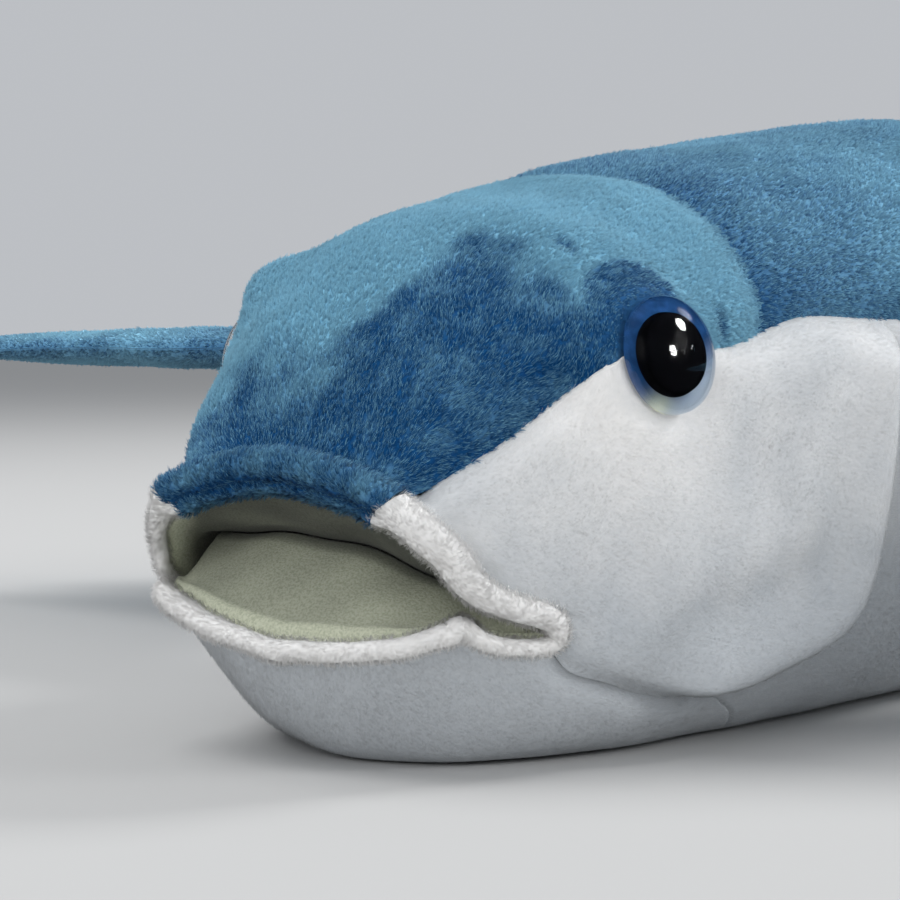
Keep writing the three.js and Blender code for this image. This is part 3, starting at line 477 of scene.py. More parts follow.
def eye_relief(points):
    """The brow, the dart in front of the eye with its hollow, and the pinches by it."""
    back, up, _ = eye_frame(points)
    edge, held, front = eye_socket(points)
    hollow = (1 - smoothstep(edge, -2.2, 0.3)) * held
    crease = bump(edge, 0, 1.0) * held * front
    swell = bump(edge, 4, 3) * held * front
    left = np.where(points[..., 0] < 0, 0.0, 1.0)
    brow = bump(np.hypot(back + 2, up - 17), 0, 7) * left
    far_brow = bump(np.hypot((back + 1) / 13, (up - 10.5) / 4.5), 0, 1) * (1 - left)
    pulled = BROW_RISE * brow + SWELL_RISE * swell - DART_DEPTH * crease - SOCKET_DEPTH * hollow
    pulled = pulled - PINCH_DEPTH * eye_dents(points)
    return pulled + FAR_BROW * far_brow


def from_gill(s, t):
    """Distance from the gill cover's edge along the surface, less than 0 behind the edge."""
    return from_line(on_body(s, t), GILL_LINE) * np.where(s > gill_at(t), -1, 1)


def gill_lift(s, t):
    rise = 1 - smoothstep(from_gill(s, t), head(0.02), head(0.38))
    return GILL_LIFT * rise * smoothstep(t, 1, 1.12) * (1 - 0.8 * smoothstep(t, 1.46, THROAT))


def gill_relief(s, t):
    """The gill cover's padded rim, the valley in front of it and its turned edge."""
    inside = from_gill(s, t)
    ridge = GILL_RIDGE * bump(inside, 4.2, 3.2) - GILL_VALLEY * bump(inside, 12.5, 5)
    edge = -GILL_FOLD * bump(inside, 0, 1.7)
    return (ridge + edge) * smoothstep(t, 1.02, 1.14) * (1 - 0.8 * smoothstep(t, 1.46, THROAT))


def gill_tuck(s, t):
    """The belly's skin goes down under the gill cover."""
    under = smoothstep(from_gill(s, t), -5, 1) * (s < gill_at(t) + 8)
    return -GILL_SINK * under * smoothstep(t, 1, 1.06) * (1 - smoothstep(t, 1.43, THROAT))


def relief(points):
    seam = -SEAM_DEPTH * bump(from_line(points, SEAM_LINES), 0, SEAM_WIDTH)
    seam = seam - NAPE_DEPTH * bump(from_line(points, NAPE_LINE), 0, NAPE_WIDTH)
    lumps = LUMP_RISE * ripple(points, 46, 3) + DIMPLE_RISE * ripple(points, 17, 5)
    return seam + lumps + eye_relief(points)


# The soft mouth isn't quite even: its right corner bulges, and the lower lip rises towards it
right_lip_rise = profile((1, 0), (1.378, 0), (1.449, 2.0), (1.52, 2.7), (1.76, 1.6), (2, 0))


def skin(s, t, lift=0.0, rough=True):
    """Points of the plush skin, lifted off the sewn surface; chin and belly lie flat on the table."""
    s, t = np.broadcast_arrays(np.asarray(s, float), np.asarray(t, float))
    plain = on_body(s, t)
    grown = lift + (relief(plain) if rough else 0.0)
    p = plain + outward(s, t) * np.asarray(grown)[..., None]
    k = np.abs(fold_round(t))
    sag = CHIN_SAG * bump(s, 18, 8) * smoothstep(k, 1.5, 1.75)
    p[..., 2] -= sag * smoothstep(p[..., 0], -10, 6)
    low = np.maximum(0, -(np.asarray(lift) + PILE_SINK)) + 0.0 * s
    above = p[..., 2] - low
    p[..., 2] = low + np.maximum((above + np.sqrt(above**2 + TABLE_ROUND**2)) / 2 - TABLE_SINK, 0)
    right = np.where(fold_round(t) < 0, 1.0, 0.0)
    p[..., 0] -= right * FAR_CORNER_BULGE * bump(k, 1.44, 0.16) * bump(s, 9, 10)
    p[..., 2] += right * right_lip_rise(k) * bump(s, rim_at(k), 8)
    close = np.clip((s - BODY_END + TAIL_CLOSE) / TAIL_CLOSE, 0, 1)
    narrow = np.sqrt(np.maximum(1 - close**2, 0.03))
    p[..., 0] = p[..., 0] * narrow
    p[..., 2] = TAIL_MIDDLE + (p[..., 2] - TAIL_MIDDLE) * (1 - (1 - narrow) * 0.35)
    back, up, off = eye_frame(p)
    off = off + np.where(p[..., 0] < 0, RIGHT_EYE_SUNK, 0.0)
    press = 1 - smoothstep(np.hypot(back, up), EYE_RADIUS, EYE_RADIUS + EYE_PRESS)
    side = np.where(p[..., :1] < 0, MIRROR, 1.0)
    return p + (press * (lift - off))[..., None] * eye_axis * side


# Meshes
def cells(rows, columns, closed=False):
    """Corner numbers of the quads of a grid of points; a closed grid joins its last column to its first."""
    number = np.arange(rows * columns).reshape(rows, columns)
    if closed:
        number = np.concatenate([number, number[:, :1]], 1)
    quads = [number[:-1, :-1], number[1:, :-1], number[1:, 1:], number[:-1, 1:]]
    return np.stack(quads, -1).reshape(-1, 4)


def put_in_scene(name, data):
    made = bpy.data.objects.new(name, data)
    bpy.context.scene.collection.objects.link(made)
    return made


def mesh_object(name, points, faces, materials, slots=None):
    mesh = bpy.data.meshes.new(name)
    mesh.vertices.add(len(points))
    mesh.vertices.foreach_set("co", (np.asarray(points) * MM).astype(np.float32).ravel())
    corners = np.concatenate([f.ravel() for f in faces])
    sizes = np.concatenate([np.full(len(f), f.shape[1]) for f in faces])
    mesh.loops.add(len(corners))
    mesh.loops.foreach_set("vertex_index", corners.astype(np.int32))
    mesh.polygons.add(len(sizes))
    mesh.polygons.foreach_set("loop_start", (np.cumsum(sizes) - sizes).astype(np.int32))
    mesh.polygons.foreach_set("use_smooth", np.ones(len(sizes), bool))
    for item in materials:
        mesh.materials.append(item)
    if slots is not None:
        mesh.polygons.foreach_set("material_index", np.array(slots, np.int32))
    mesh.update(calc_edges=True)
    mesh.validate()
    return put_in_scene(name, mesh)


def write_values(data, name, values, kind="FLOAT", domain="POINT"):
    """Numbers kept on a mesh or on curves, for the materials to read."""
    held = data.attributes.get(name) or data.attributes.new(name, kind, domain)
    held.data.foreach_set("value" if kind == "FLOAT" else "vector", values.astype(np.float32).ravel())


def cloth_object(name, points, faces, hints, painted_shade_and_tone, material):
    """A mesh of cloth, turned over where its first faces don't face the way that the hints say."""
    a, b, c = (points[faces[0][:, k]] for k in (0, 1, 2))
    if dot(np.cross(b - a, c - a), hints[faces[0][:, 0]]).sum() <= 0:
        faces = [f[:, ::-1] for f in faces]
    piece = mesh_object(name, points, faces, [material])
    write_values(piece.data, "painted_shade_and_tone", painted_shade_and_tone)
    return piece


class Patch:
    """A grid of points on cloth, with its normals, the way its pile lies and its painted shade value:
    0 for painted light, 1 for painted shade, with random tone.
    """

    def __init__(self, points, lay, hint, closed=False):
        self.points, self.closed = points, closed
        along, across = np.gradient(points, axis=0), np.gradient(points, axis=1)
        if closed:
            across = (np.roll(points, -1, 1) - np.roll(points, 1, 1)) / 2
        normal = unit(np.cross(along, across))
        normal = normal * np.where(dot(normal, hint) < 0, -1.0, 1.0)[..., None]
        lost = dot(normal, unit(hint)) < 0.2
        normal[lost] = unit(hint)[lost]
        self.normal = normal
        self.lay = unit(lay - normal * dot(lay, normal)[..., None])
        self.painted_shade_and_tone = np.zeros(points.shape[:2])

    def mirrored(self):
        other = copy.copy(self)
        other.points, other.normal, other.lay = (v * MIRROR for v in (self.points, self.normal, self.lay))
        return other


def shell(name, patch, inner, material):
    """A closed sheet of cloth between a patch and a grid of points behind it."""
    rows, columns = patch.points.shape[:2]
    count = rows * columns
    number = np.arange(count).reshape(rows, columns)
    border = np.concatenate([number[:-1, 0], number[-1, :-1], number[:0:-1, -1], number[0, :0:-1]])
    after = np.roll(border, -1)
    front = cells(rows, columns)
    edge = np.stack([border, border + count, after + count, after], -1)
    points = np.concatenate([patch.points.reshape(-1, 3), inner.reshape(-1, 3)])
    faces = [front, front[:, ::-1] + count, edge]
    painted_shade_and_tone = np.tile(patch.painted_shade_and_tone.ravel(), 2)
    return cloth_object(name, points, faces, patch.normal.reshape(-1, 3), painted_shade_and_tone, material)


def tube(name, patch, material):
    """A closed roll of cloth through rings of points."""
    rows, columns = patch.points.shape[:2]
    first = np.arange(columns)[None]
    faces = [cells(rows, columns, True), first[:, ::-1], first + (rows - 1) * columns]
    normals = patch.normal.reshape(-1, 3)
    return cloth_object(name, patch.points.reshape(-1, 3), faces, normals, patch.painted_shade_and_tone, material)


# Materials
def new_material(name, colour, roughness, **settings):
    material = bpy.data.materials.new(name)
    material.use_nodes = True
    shader = material.node_tree.nodes["Principled BSDF"]
    shader.inputs["Base Color"].default_value = (*colour, 1)
    shader.inputs["Roughness"].default_value = roughness
    for socket, value in settings.items():
        shader.inputs[socket.replace("_", " ")].default_value = value
    return material, material.node_tree, shader


def add_node(tree, kind, **settings):
    node = tree.nodes.new(kind)
    for key, value in settings.items():
        setattr(node, key, value)
    return node


def noise(tree, scale, detail=3.0, stretch=(1, 1, 1)):
    place = add_node(tree, "ShaderNodeTexCoord")
    mapping = add_node(tree, "ShaderNodeMapping")
    mapping.inputs["Scale"].default_value = stretch
    texture = add_node(tree, "ShaderNodeTexNoise")
    texture.inputs["Scale"].default_value = scale
    texture.inputs["Detail"].default_value = detail
    tree.links.new(place.outputs["Object"], mapping.inputs["Vector"])
    tree.links.new(mapping.outputs["Vector"], texture.inputs["Vector"])
    return texture.outputs["Fac"]


def mixed(tree, factor, first, second, blend="MIX"):
    """A mix of two colours, by a factor; each is a value or another node's output."""
    mix = add_node(tree, "ShaderNodeMix", data_type="RGBA", blend_type=blend)
    sockets = [s for s in mix.inputs if s.enabled]
    for target, value in zip(sockets, (factor, first, second)):
        if isinstance(value, bpy.types.NodeSocket):
            tree.links.new(value, target)
        else:
            target.default_value = value if target.type == "VALUE" else (*value, 1)
    return next(s for s in mix.outputs if s.type == "RGBA")


def ramp(tree, value, low, high):
    node = add_node(tree, "ShaderNodeMapRange", clamp=True)
    node.inputs["From Min"].default_value = low
    node.inputs["From Max"].default_value = high
    tree.links.new(value, node.inputs["Value"])
    return node.outputs["Result"]


def bumped(tree, shader, height, distance, strength=1.0):
    node = add_node(tree, "ShaderNodeBump")
    node.inputs["Distance"].default_value = distance * MM
    node.inputs["Strength"].default_value = strength
    tree.links.new(height, node.inputs["Height"])
    tree.links.new(node.outputs["Normal"], shader.inputs["Normal"])


# A mix of the painted lit and the painted shaded colour, by the painted shade value on the mesh or strands
def painted_shade_colour(tree, light, dark):
    painted_shade_and_tone = add_node(tree, "ShaderNodeAttribute", attribute_name="painted_shade_and_tone")
    return mixed(tree, painted_shade_and_tone.outputs["Fac"], light, dark)


def pile_cloth(name, light, dark, hollow, sheen, tint, grain=1300, stretch=(1, 0.4, 1), deep=0.25):
    """Cloth under the pile: fine tufts with painted shade in the hollows between them, and painted
    light or painted shade by its painted shade value.
    """
    material, tree, shader = new_material(
        name, light, 0.95, Sheen_Weight=sheen, Sheen_Roughness=0.5, Sheen_Tint=(*tint, 1),
        Specular_IOR_Level=0.1,
    )
    tufts = noise(tree, grain, 2.0, stretch)
    # Painted shade in the hollows between tufts
    shade = mixed(tree, ramp(tree, tufts, 0.34, 0.6), hollow, PLAIN)
    both = mixed(tree, 1.0, painted_shade_colour(tree, light, dark), shade, "MULTIPLY")
    tree.links.new(both, shader.inputs["Base Color"])
    bumped(tree, shader, tufts, deep, 0.7)
    return material


def pile(name, light, dark, root, sheen, tint):
    """The pile's fibres, with painted shade at the root and a little painted light at the tip, lit as the
    cloth they lie on.
    """
    material, tree, shader = new_material(
        name, light, 0.85, Specular_IOR_Level=0.08, Sheen_Weight=sheen, Sheen_Roughness=0.5,
        Sheen_Tint=(*tint, 1),
    )
    cloth_way = add_node(tree, "ShaderNodeAttribute", attribute_name="cloth_way")
    to_world = add_node(tree, "ShaderNodeVectorTransform", vector_type="NORMAL")
    to_world.convert_from, to_world.convert_to = "OBJECT", "WORLD"
    tree.links.new(cloth_way.outputs["Vector"], to_world.inputs["Vector"])
    tree.links.new(to_world.outputs["Vector"], shader.inputs["Normal"])
    strand = add_node(tree, "ShaderNodeHairInfo")
    # Painted shade at the strand's root, a little painted light at its tip
    shade = mixed(tree, ramp(tree, strand.outputs["Intercept"], 0.0, 0.9), root, (1.04, 1.04, 1.04))
    final = mixed(tree, 1.0, painted_shade_colour(tree, light, dark), shade, "MULTIPLY")
    tree.links.new(final, shader.inputs["Base Color"])
    return material


# Each plush mixes its painted lit and painted shaded copies by its painted shade value
blue_cloth = pile_cloth("blue_cloth", BLUE_PAINTED_LIT, BLUE_PAINTED_SHADE, BLUE_HOLLOW_SHADE, 0.18, BLUE_SHEEN)
white_cloth = pile_cloth("white_cloth", WHITE_PAINTED_LIT, WHITE_PAINTED_SHADE, WHITE_HOLLOW_SHADE, 0.1, PLAIN, deep=0.015)
lining_cloth = pile_cloth(
    "lining_cloth", LINING_PAINTED_LIT, LINING_PAINTED_SHADE, LINING_HOLLOW_SHADE, 0.1, PLAIN, 2900, (1, 1, 1), 0.2
)
blue_pile = pile("blue_pile", BLUE_PAINTED_LIT, BLUE_PAINTED_SHADE, BLUE_HOLLOW_SHADE, 0.18, BLUE_SHEEN)
white_pile = pile("white_pile", WHITE_PAINTED_LIT, WHITE_PAINTED_SHADE, PLAIN, 0.1, PLAIN)
BLUE = ("blue_plush", blue_cloth, blue_pile)
WHITE = ("white_plush", white_cloth, white_pile)


def fibre_material():
    material, tree, shader = new_material("polyester_fibre", FIBRE, 0.9, Sheen_Weight=0.3)
    wisps = noise(tree, 220, 6.0, (1, 0.3, 1))
    colour = mixed(tree, ramp(tree, wisps, 0.3, 0.7), FIBRE_SHADE, FIBRE)
    tree.links.new(colour, shader.inputs["Base Color"])
    bumped(tree, shader, wisps, 1.2)
    return material


def clear_material():
    material, tree, shader = new_material(
        "clear_plastic", (0.93, 0.96, 1.0), 0.015, Transmission_Weight=1.0, IOR=1.49,
        Specular_Tint=(0.7, 0.7, 0.7, 1),
    )
    scuffs = noise(tree, 900, 4.0)
    tree.links.new(ramp(tree, scuffs, -1.2, 26.0), shader.inputs["Roughness"])
    return material


def iris_material():
    material, tree, shader = new_material("iris_paint", IRIS_BLUE, 0.8, Specular_IOR_Level=0.0)
    flecks = noise(tree, 700, 3.0)
    shade = mixed(tree, ramp(tree, flecks, 0.35, 0.7), IRIS_BLUE, tuple(c * 1.7 for c in IRIS_BLUE))
    # Painted reflection of white cloth on the iris's lower side
    rim = add_node(tree, "ShaderNodeAttribute", attribute_name="pale")
    colour = mixed(tree, rim.outputs["Fac"], shade, IRIS_PAINTED_REFLECTION)
    # Painted caustic spot low at the front of the iris
    painted_caustic = add_node(tree, "ShaderNodeAttribute", attribute_name="painted_caustic")
    colour = mixed(tree, painted_caustic.outputs["Fac"], colour, IRIS_PAINTED_CAUSTIC)
    tree.links.new(colour, shader.inputs["Base Color"])
    return material


def plastic_material(name, colour, roughness):
    material, tree, shader = new_material(name, colour, roughness, Coat_Weight=0.2)
    flow = noise(tree, 420, 3.0)
    darker = tuple(c * 0.8 for c in colour)
    tree.links.new(mixed(tree, flow, darker, colour), shader.inputs["Base Color"])
    bumped(tree, shader, flow, 0.03, 0.4)
    return material


fibre_fill = fibre_material()
clear_plastic = clear_material()
iris_paint = iris_material()
black_plastic = plastic_material("black_plastic", PUPIL_BLACK, 0.12)
washer_plastic = plastic_material("washer_plastic", WASHER_WHITE, 0.5)
pupil_face, _, _ = new_material("pupil_face", PUPIL_BLACK, 0.9, Specular_IOR_Level=0.0)


# Pile
def sample(field, i, j, a, b, closed):
    """Values of a patch's field at shares a and b of the way across its cells i, j."""
    k = (j + 1) % field.shape[1] if closed else j + 1
    first = lerp(field[i, j], field[i + 1, j], a[:, None])
    return lerp(first, lerp(field[i, k], field[i + 1, k], a[:, None]), b[:, None])


def swing(angle, first, second):
    """A way at an angle from the first of two ways towards the second."""
    return first * np.cos(angle)[..., None] + second * np.sin(angle)[..., None]


def strands_object(name, points, cloth_ways, strand_painted_shades, width, material, body):
    """Hair curves through the given points, which keep the cloth's normal and painted shade at their
    roots.
    """
    total = len(cloth_ways)
    curves = bpy.data.hair_curves.new(name)
    curves.add_curves([PILE_POINTS] * total)
    taper = np.array([1.0, 0.9, 0.7, 0.3]) * width / 2 * MM
    write_values(curves, "position", points * MM, "FLOAT_VECTOR")
    write_values(curves, "radius", np.tile(taper, total))
    write_values(curves, "cloth_way", cloth_ways, "FLOAT_VECTOR", "CURVE")
    write_values(curves, "painted_shade_and_tone", strand_painted_shades, domain="CURVE")
    curves.materials.append(material)
    made = put_in_scene(name, curves)
    made.visible_shadow = False
    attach(made, body)


def fur(name, patch, body, material, seed, density, length, width=FINE, lean=(48, 18), jitter=0.06,
        mottle=0.4, strands=5, gather=0.5, spread=11, pale=0.0, grown=None):
    """Strands of pile in tufts over a patch. density is strands per square millimetre, lean a strand's
    rise at its root and at its tip in degrees, pale how much less painted shade they carry than the
    cloth, and grown a share of the length for each root, 0 for bald."""
    rng = np.random.default_rng(seed)
    p = patch.points
    across = np.roll(p, -1, 1) if patch.closed else p[:, 1:]
    near = p if patch.closed else p[:, :-1]
    area = np.linalg.norm(np.cross(near[1:] - near[:-1], across[:-1] - near[:-1]), axis=-1)
    count = int(area.sum() * density * DRAFT / strands)
    pick = rng.choice(area.size, count, p=area.ravel() / area.sum())
    i, j = np.divmod(pick, area.shape[1])
    a, b = rng.random(count), rng.random(count)
    fields = (p, patch.normal, patch.lay, patch.painted_shade_and_tone[..., None])
    root, normal, lay, painted_shade_and_tone = (sample(field, i, j, a, b, patch.closed) for field in fields)
    normal, lay = unit(normal), unit(lay)
    share = np.ones(count) if grown is None else grown(root, normal)
    kept = share > 0.05
    root, normal, lay, share, painted_shade_and_tone = (v[kept] for v in (root, normal, lay, share, painted_shade_and_tone))
    count = len(root)
    turn = np.radians(SWIRL * ripple(root, 24, seed + 1) + 0.6 * SWIRL * ripple(root, 7, seed + 2))
    turn = turn + np.radians(rng.normal(0, spread, count))
    lay = swing(turn, lay, np.cross(normal, lay))
    cross = np.cross(normal, lay)
    reach = TUFT * np.sqrt(rng.random((count, strands)))
    angle = rng.uniform(0, 2 * math.pi, (count, strands))
    offset = (reach * np.cos(angle))[..., None] * lay[:, None]
    offset = offset + (reach * np.sin(angle))[..., None] * cross[:, None]
    long = length * (share * rng.normal(1, TUFT_LENGTHS, count).clip(0.5, 1.5))[:, None]
    long = long * rng.normal(1, STRAND_LENGTHS, (count, strands)).clip(0.6, 1.4)
    steep = rng.normal(0, TUFT_RISES, count)[:, None] + rng.normal(0, STRAND_RISES, (count, strands))
    apart = np.radians(rng.normal(0, STRAND_TURNS, (count, strands)))
    way = swing(apart, lay[:, None], np.cross(normal[:, None], lay[:, None]))
    points = np.empty((count, strands, PILE_POINTS, 3))
    points[:, :, 0] = root[:, None] + offset - 0.04 * normal[:, None]
    segments = PILE_POINTS - 1
    for k in range(segments):
        rise = np.radians(lerp(lean[0], lean[1], k / (segments - 1)) + steep)
        step = swing(rise, way, normal[:, None])
        pulled = offset * (gather / segments)
        points[:, :, k + 1] = points[:, :, k] + step * (long / segments)[..., None] - pulled
    points[..., 2] = np.maximum(points[..., 2], PILE_FLOOR)
    tipped = unit(normal + jitter * rng.normal(size=normal.shape))
    # Strand colour: the cloth's painted shade value, less pale, with random tone
    shade = np.clip(painted_shade_and_tone - pale + mottle * (0.2 + painted_shade_and_tone) * rng.normal(0, 1, (count, strands)), 0, 1)
    strands_object(name, points, np.repeat(tipped, strands, 0), shade, width, material, body)


def finish_piece(piece, body, node):
    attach(piece, body)
    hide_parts(node)


def plush_piece(name, pile_name, patch, inner, plush, body, node, fill, seed, **strands):
    """A piece of plush and its pile: a roll, or a sheet where there is a grid of points behind it."""
    slot, cloth, fibres = plush
    piece = tube(name, patch, cloth) if inner is None else shell(name, patch, inner, cloth)
    finish_piece(piece, body, node)
    fur(pile_name, patch, body, fibres, seed, **strands)


def dress_solid(node, material):
    """Keeps a node's own solid and gives it a material."""
    mesh = frame["nodes"][node].data
    mesh.materials.clear()
    mesh.materials.append(material)


# Body panels
def way_back(s, t):
    return unit(on_body(s + 0.5, t) - on_body(s - 0.5, t))


def eye_bald(root, normal):
    """Pile is short at the eyes, and there is none under them."""
    back, up, _ = eye_frame(root)
    away = np.hypot(back, up)
    share = smoothstep(away, EYE_RADIUS - 0.2, EYE_RADIUS + 4.0) * 0.7 + 0.3
    share = np.where(away < EYE_RADIUS + 0.15, 0.0, share)
    return np.where((root[:, 2] < 1.0) & (normal[:, 2] < -0.6), 0.0, share)


def even(low, high, size, length):
    return np.linspace(low, high, max(int(round(length / size)), 4) + 1)


def spaced(low, high, size, *edges):
    """Places round the body that cut the longest of the given edges into equal steps."""
    t = np.linspace(low, high, 4000)
    k = np.abs(fold_round(t))
    paths = [np.linalg.norm(np.diff(on_body(edge(k), t), axis=0), axis=-1) for edge in edges]
    run = np.concatenate([[0], np.cumsum(np.max(paths, 0))])
    return np.interp(even(0, run[-1], size, run[-1]), run, t)


# Where the painted shade on the snout's front slope ends, as stations round the body from its right
# side to its left
snout_shade_end = profile(
    (-1, 10), (-0.4, 10.5), (-0.2, 12), (0, 13.5), (0.1, 15.5), (0.15, 18.5), (0.2, 25), (0.33, 30),
    (0.5, 30.5), (0.7, 31.5), (0.85, 33), (1, 34),
)


def crown_painted_shade(s, t, points):
    """Painted shade on the snout's front slope, by the eye's socket, crease and pinches, and along the
    crown's rear edge, broken by random blotches.
    """
    loose = s + 2.6 * ripple(points, 22, 71) + 2.2 * ripple(points, 7, 73)
    front_slope_shade = 0.92 * (1 - smoothstep(loose, snout_shade_end(t) - 8, snout_shade_end(t) + 6))
    edge, held, _ = eye_socket(points)
    socket = (1 - smoothstep(edge + 0.5 * ripple(points, 4, 74), -1.2, 0.6)) * held
    crease = bump(edge, 0, 0.7) * held
    pinch = 0.9 * np.minimum(eye_dents(points), 1)
    # Painted shade along the crown's rear edge by the nape seam
    shaded = 0.3 * smoothstep(s, nape_at(np.abs(t)) - 4, nape_at(np.abs(t)))
    blotches = 0.16 * ripple(points, 6, 76) + 0.1 * ripple(points, 15, 78)
    dark = np.maximum(np.maximum(front_slope_shade * (1 + blotches), 0.95 * socket), np.maximum(pinch, crease))
    return np.maximum(dark, shaded + 0.04)


# Painted shade on the back, deepest just behind the nape seam and in the pinch by the eye, over random
# blotches
def back_painted_shade(s, t, points):
    k = np.abs(t)
    behind = 0.5 * np.exp(-np.maximum(s - nape_at(k), 0) / 15) * smoothstep(k, 0.05, 0.4)
    pinch = 0.9 * np.minimum(eye_dents(points), 1)
    return np.maximum(0.38 + behind + 0.1 * ripple(points, 30, 75) + 0.06 * ripple(points, 11, 77), pinch)


def white_painted_shade(_s, _t, points):
    """Painted shade on white plush low down and painted light by the eye, with random blotches."""
    back, up, _ = eye_frame(points)
    low = 0.42 * (1 - smoothstep(points[..., 2], 8, 34))
    painted_light_by_eye = 0.85 * bump(np.hypot(back + 5, up), 0, 16)
    return 0.73 + low - painted_light_by_eye + 0.09 * ripple(points, 30, 79) + 0.06 * ripple(points, 10, 81)


def cheek_lift(s, t):
    behind_lip = -0.9 * bump(s - rim_at(t), 3.4, 1.5) * (1 - smoothstep(t, 1.3, CORNER))
    return gill_lift(s, t) + gill_relief(s, t) + behind_lip


def cheek_front(t):
    return np.where(t <= CORNER, rim_at(t), chin_seam_at(t))


def chin_front(t):
    return np.minimum(rim_at(t), chin_seam_at(t) - 0.6)


def belly_front(t):
    behind_chin = chin_seam_at(np.maximum(t, CORNER))
    tucked = np.maximum(gill_at(np.minimum(t, THROAT)) - GILL_TUCK, behind_chin)
    return np.where(t < THROAT, tucked, behind_chin)


def body_end(t):
    return BODY_END + 0 * t


def widest_trunk(t):
    return trunk(0.2) + 0 * t


def panel(name, node, plush, columns, rows, front, rear, painted_shade_and_tone, seed, lift=None, thin=False, **strands):
    """A sewn panel with columns round the body and rows from its front edge to its rear edge. A thin
    panel gets thinner towards its front edge."""
    t = np.broadcast_to(fold_round(columns)[:, None], (len(columns), len(rows)))
    k = np.abs(t)
    s = lerp(front(k), rear(k), rows[None])
    raised = (0.0 * s if lift is None else lift(s, k)) - PILE_SINK
    thick = FABRIC * (0.1 + 0.9 * smoothstep(s - s[:, :1], 5, 24)) if thin else FABRIC
    patch = Patch(skin(s, t, raised), way_back(s, t), outward(s, t))
    patch.painted_shade_and_tone = np.clip(painted_shade_and_tone(s, t, patch.points), 0, 1)
    inner = skin(s, t, raised - thick)
    plush_piece(
        name + "_plush", name + "_pile", patch, inner, plush, "body", node, BODY_FILL, seed,
        grown=eye_bald, **strands
    )


def body_panels():
    head_rows = {long: even(0, 1, HEAD_CELL, long) for long in (62, 80, 84)}
    trunk_rows = even(0, 1, TRUNK_CELL, 310)
    columns = spaced(-1, 1, HEAD_CELL, rim_at, nape_at)
    panel("crown", "crown_panel", BLUE, columns, head_rows[80], rim_at, nape_at, crown_painted_shade, 11, thin=True,
          density=40.0, length=BLUE_LENGTH)
    columns = even(-1, 1, TRUNK_CELL, 115)
    panel("back", "back_panel", BLUE, columns, trunk_rows, nape_at, body_end, back_painted_shade, 13,
          density=22.0, length=BLUE_LENGTH, width=0.07, jitter=0.04)
    columns = spaced(1, THROAT - 0.001, HEAD_CELL, cheek_front, gill_at)
    for side, sign, seed in (("left", 1, 17), ("right", -1, 19)):
        panel(side + "_cheek", side + "_cheek", WHITE, sign * columns, head_rows[84], cheek_front, gill_at,
              white_painted_shade, seed, cheek_lift, True, **SHORT)
    columns = spaced(CORNER, 4 - CORNER, HEAD_CELL, chin_front, chin_seam_at)
    panel("chin", "chin_panel", WHITE, columns, head_rows[62], chin_front, chin_seam_at, white_painted_shade, 23,
          thin=True, **SHORT)
    columns = spaced(1, 3, TRUNK_CELL, belly_front, widest_trunk)
    panel("belly", "belly_panel", WHITE, columns, trunk_rows, belly_front, body_end, white_painted_shade, 29,
          gill_tuck, **SHORT)


# Lips
lip_radius_at = profile(
    (0, 2.3), (1.0, 2.3), (1.2, 2.3), (1.3, 2.1), (1.342, 1.75), (CORNER, 1.55), (1.42, 1.15), (1.44, 1.25),
    (LIP_JOIN, 1.5), (1.5, 1.45), (1.6, 1.35), (2, 1.4),
)
far_lip_at = profile((1, 1), (1.04, 0.95), (1.1, 0.68), (1.4, 0.68), (LIP_JOIN, 1.0), (2, 1.0))


def rim_point(t):
    k = np.abs(fold_round(t))
    p = skin(rim_at(k), t, -LIP_DEPTH, rough=False)
    p[..., 2] += 1.0 * bump(k, LIP_JOIN, 0.008)
    return p


def lobed(angle, lobes):
    """Outline of touching rolls, as a radius for each angle from the lip's middle."""
    ways = []
    for forward, out, radius in lobes:
        along = forward * np.sin(angle) + out * np.cos(angle)
        inside = radius**2 - forward**2 - out**2 + along**2
        ways.append(np.where(inside > 0, along + np.sqrt(np.maximum(inside, 0)), 0.2))
    sharp = 5.0
    return np.log(sum(np.exp(sharp * way) for way in ways)) / sharp


def lip_patch(start, end, outline):
    """A roll along the mouth's rim. Its angle is 0 off the head and a quarter turn towards the mouth."""
    t = spaced(start, end, 0.4, rim_at)
    places = rim_point(t)
    along = unit(np.gradient(places, axis=0))
    folded = fold_round(t)
    out = outward(rim_at(np.abs(folded)), folded)
    forward = unit(np.cross(along, out))
    out = np.cross(forward, along)
    angle = np.linspace(0, 2 * math.pi, LIP_SIDES, endpoint=False)
    radius = outline(folded[:, None], angle[None])
    way = swing(angle, out[:, None], forward[:, None])
    points = places[:, None] + way * radius[..., None]
    points = points + way * (LIP_LUMPS * ripple(points, 7, 41))[..., None]
    run = np.cumsum(np.linalg.norm(np.diff(places, axis=0, prepend=places[:1]), axis=-1))
    slant = np.zeros((len(t), 1))
    for joint in (-1, 1):
        if start <= joint <= end:
            near = np.exp(-np.abs(run - np.interp(joint, t, run)) / 3)
            slant = slant + joint * LIP_SLANT * near[:, None]
    points = points + along[:, None] * (0.5 * slant + slant * np.cos(angle + 0.8))[..., None]
    return Patch(points, -swing(angle, forward[:, None], -out[:, None]), way, closed=True)


def upper_lip_painted_shade(points):
    """Painted light along the top of the roll, painted shade in the groove under it and on its underside.
    """
    angle = np.linspace(0, 360, LIP_SIDES, endpoint=False)[None]
    angle = np.where(angle > 250, angle - 360, angle)
    groove_shade = 0.9 * bump(angle, 72, 17) + 0.8 * smoothstep(angle, 128, 165)
    return np.clip(0.68 + groove_shade + 0.14 * ripple(points, 5, 83), 0, 1)


def upper_outline(t, angle):
    return lobed(angle + 0 * t, UPPER_ROLLS)


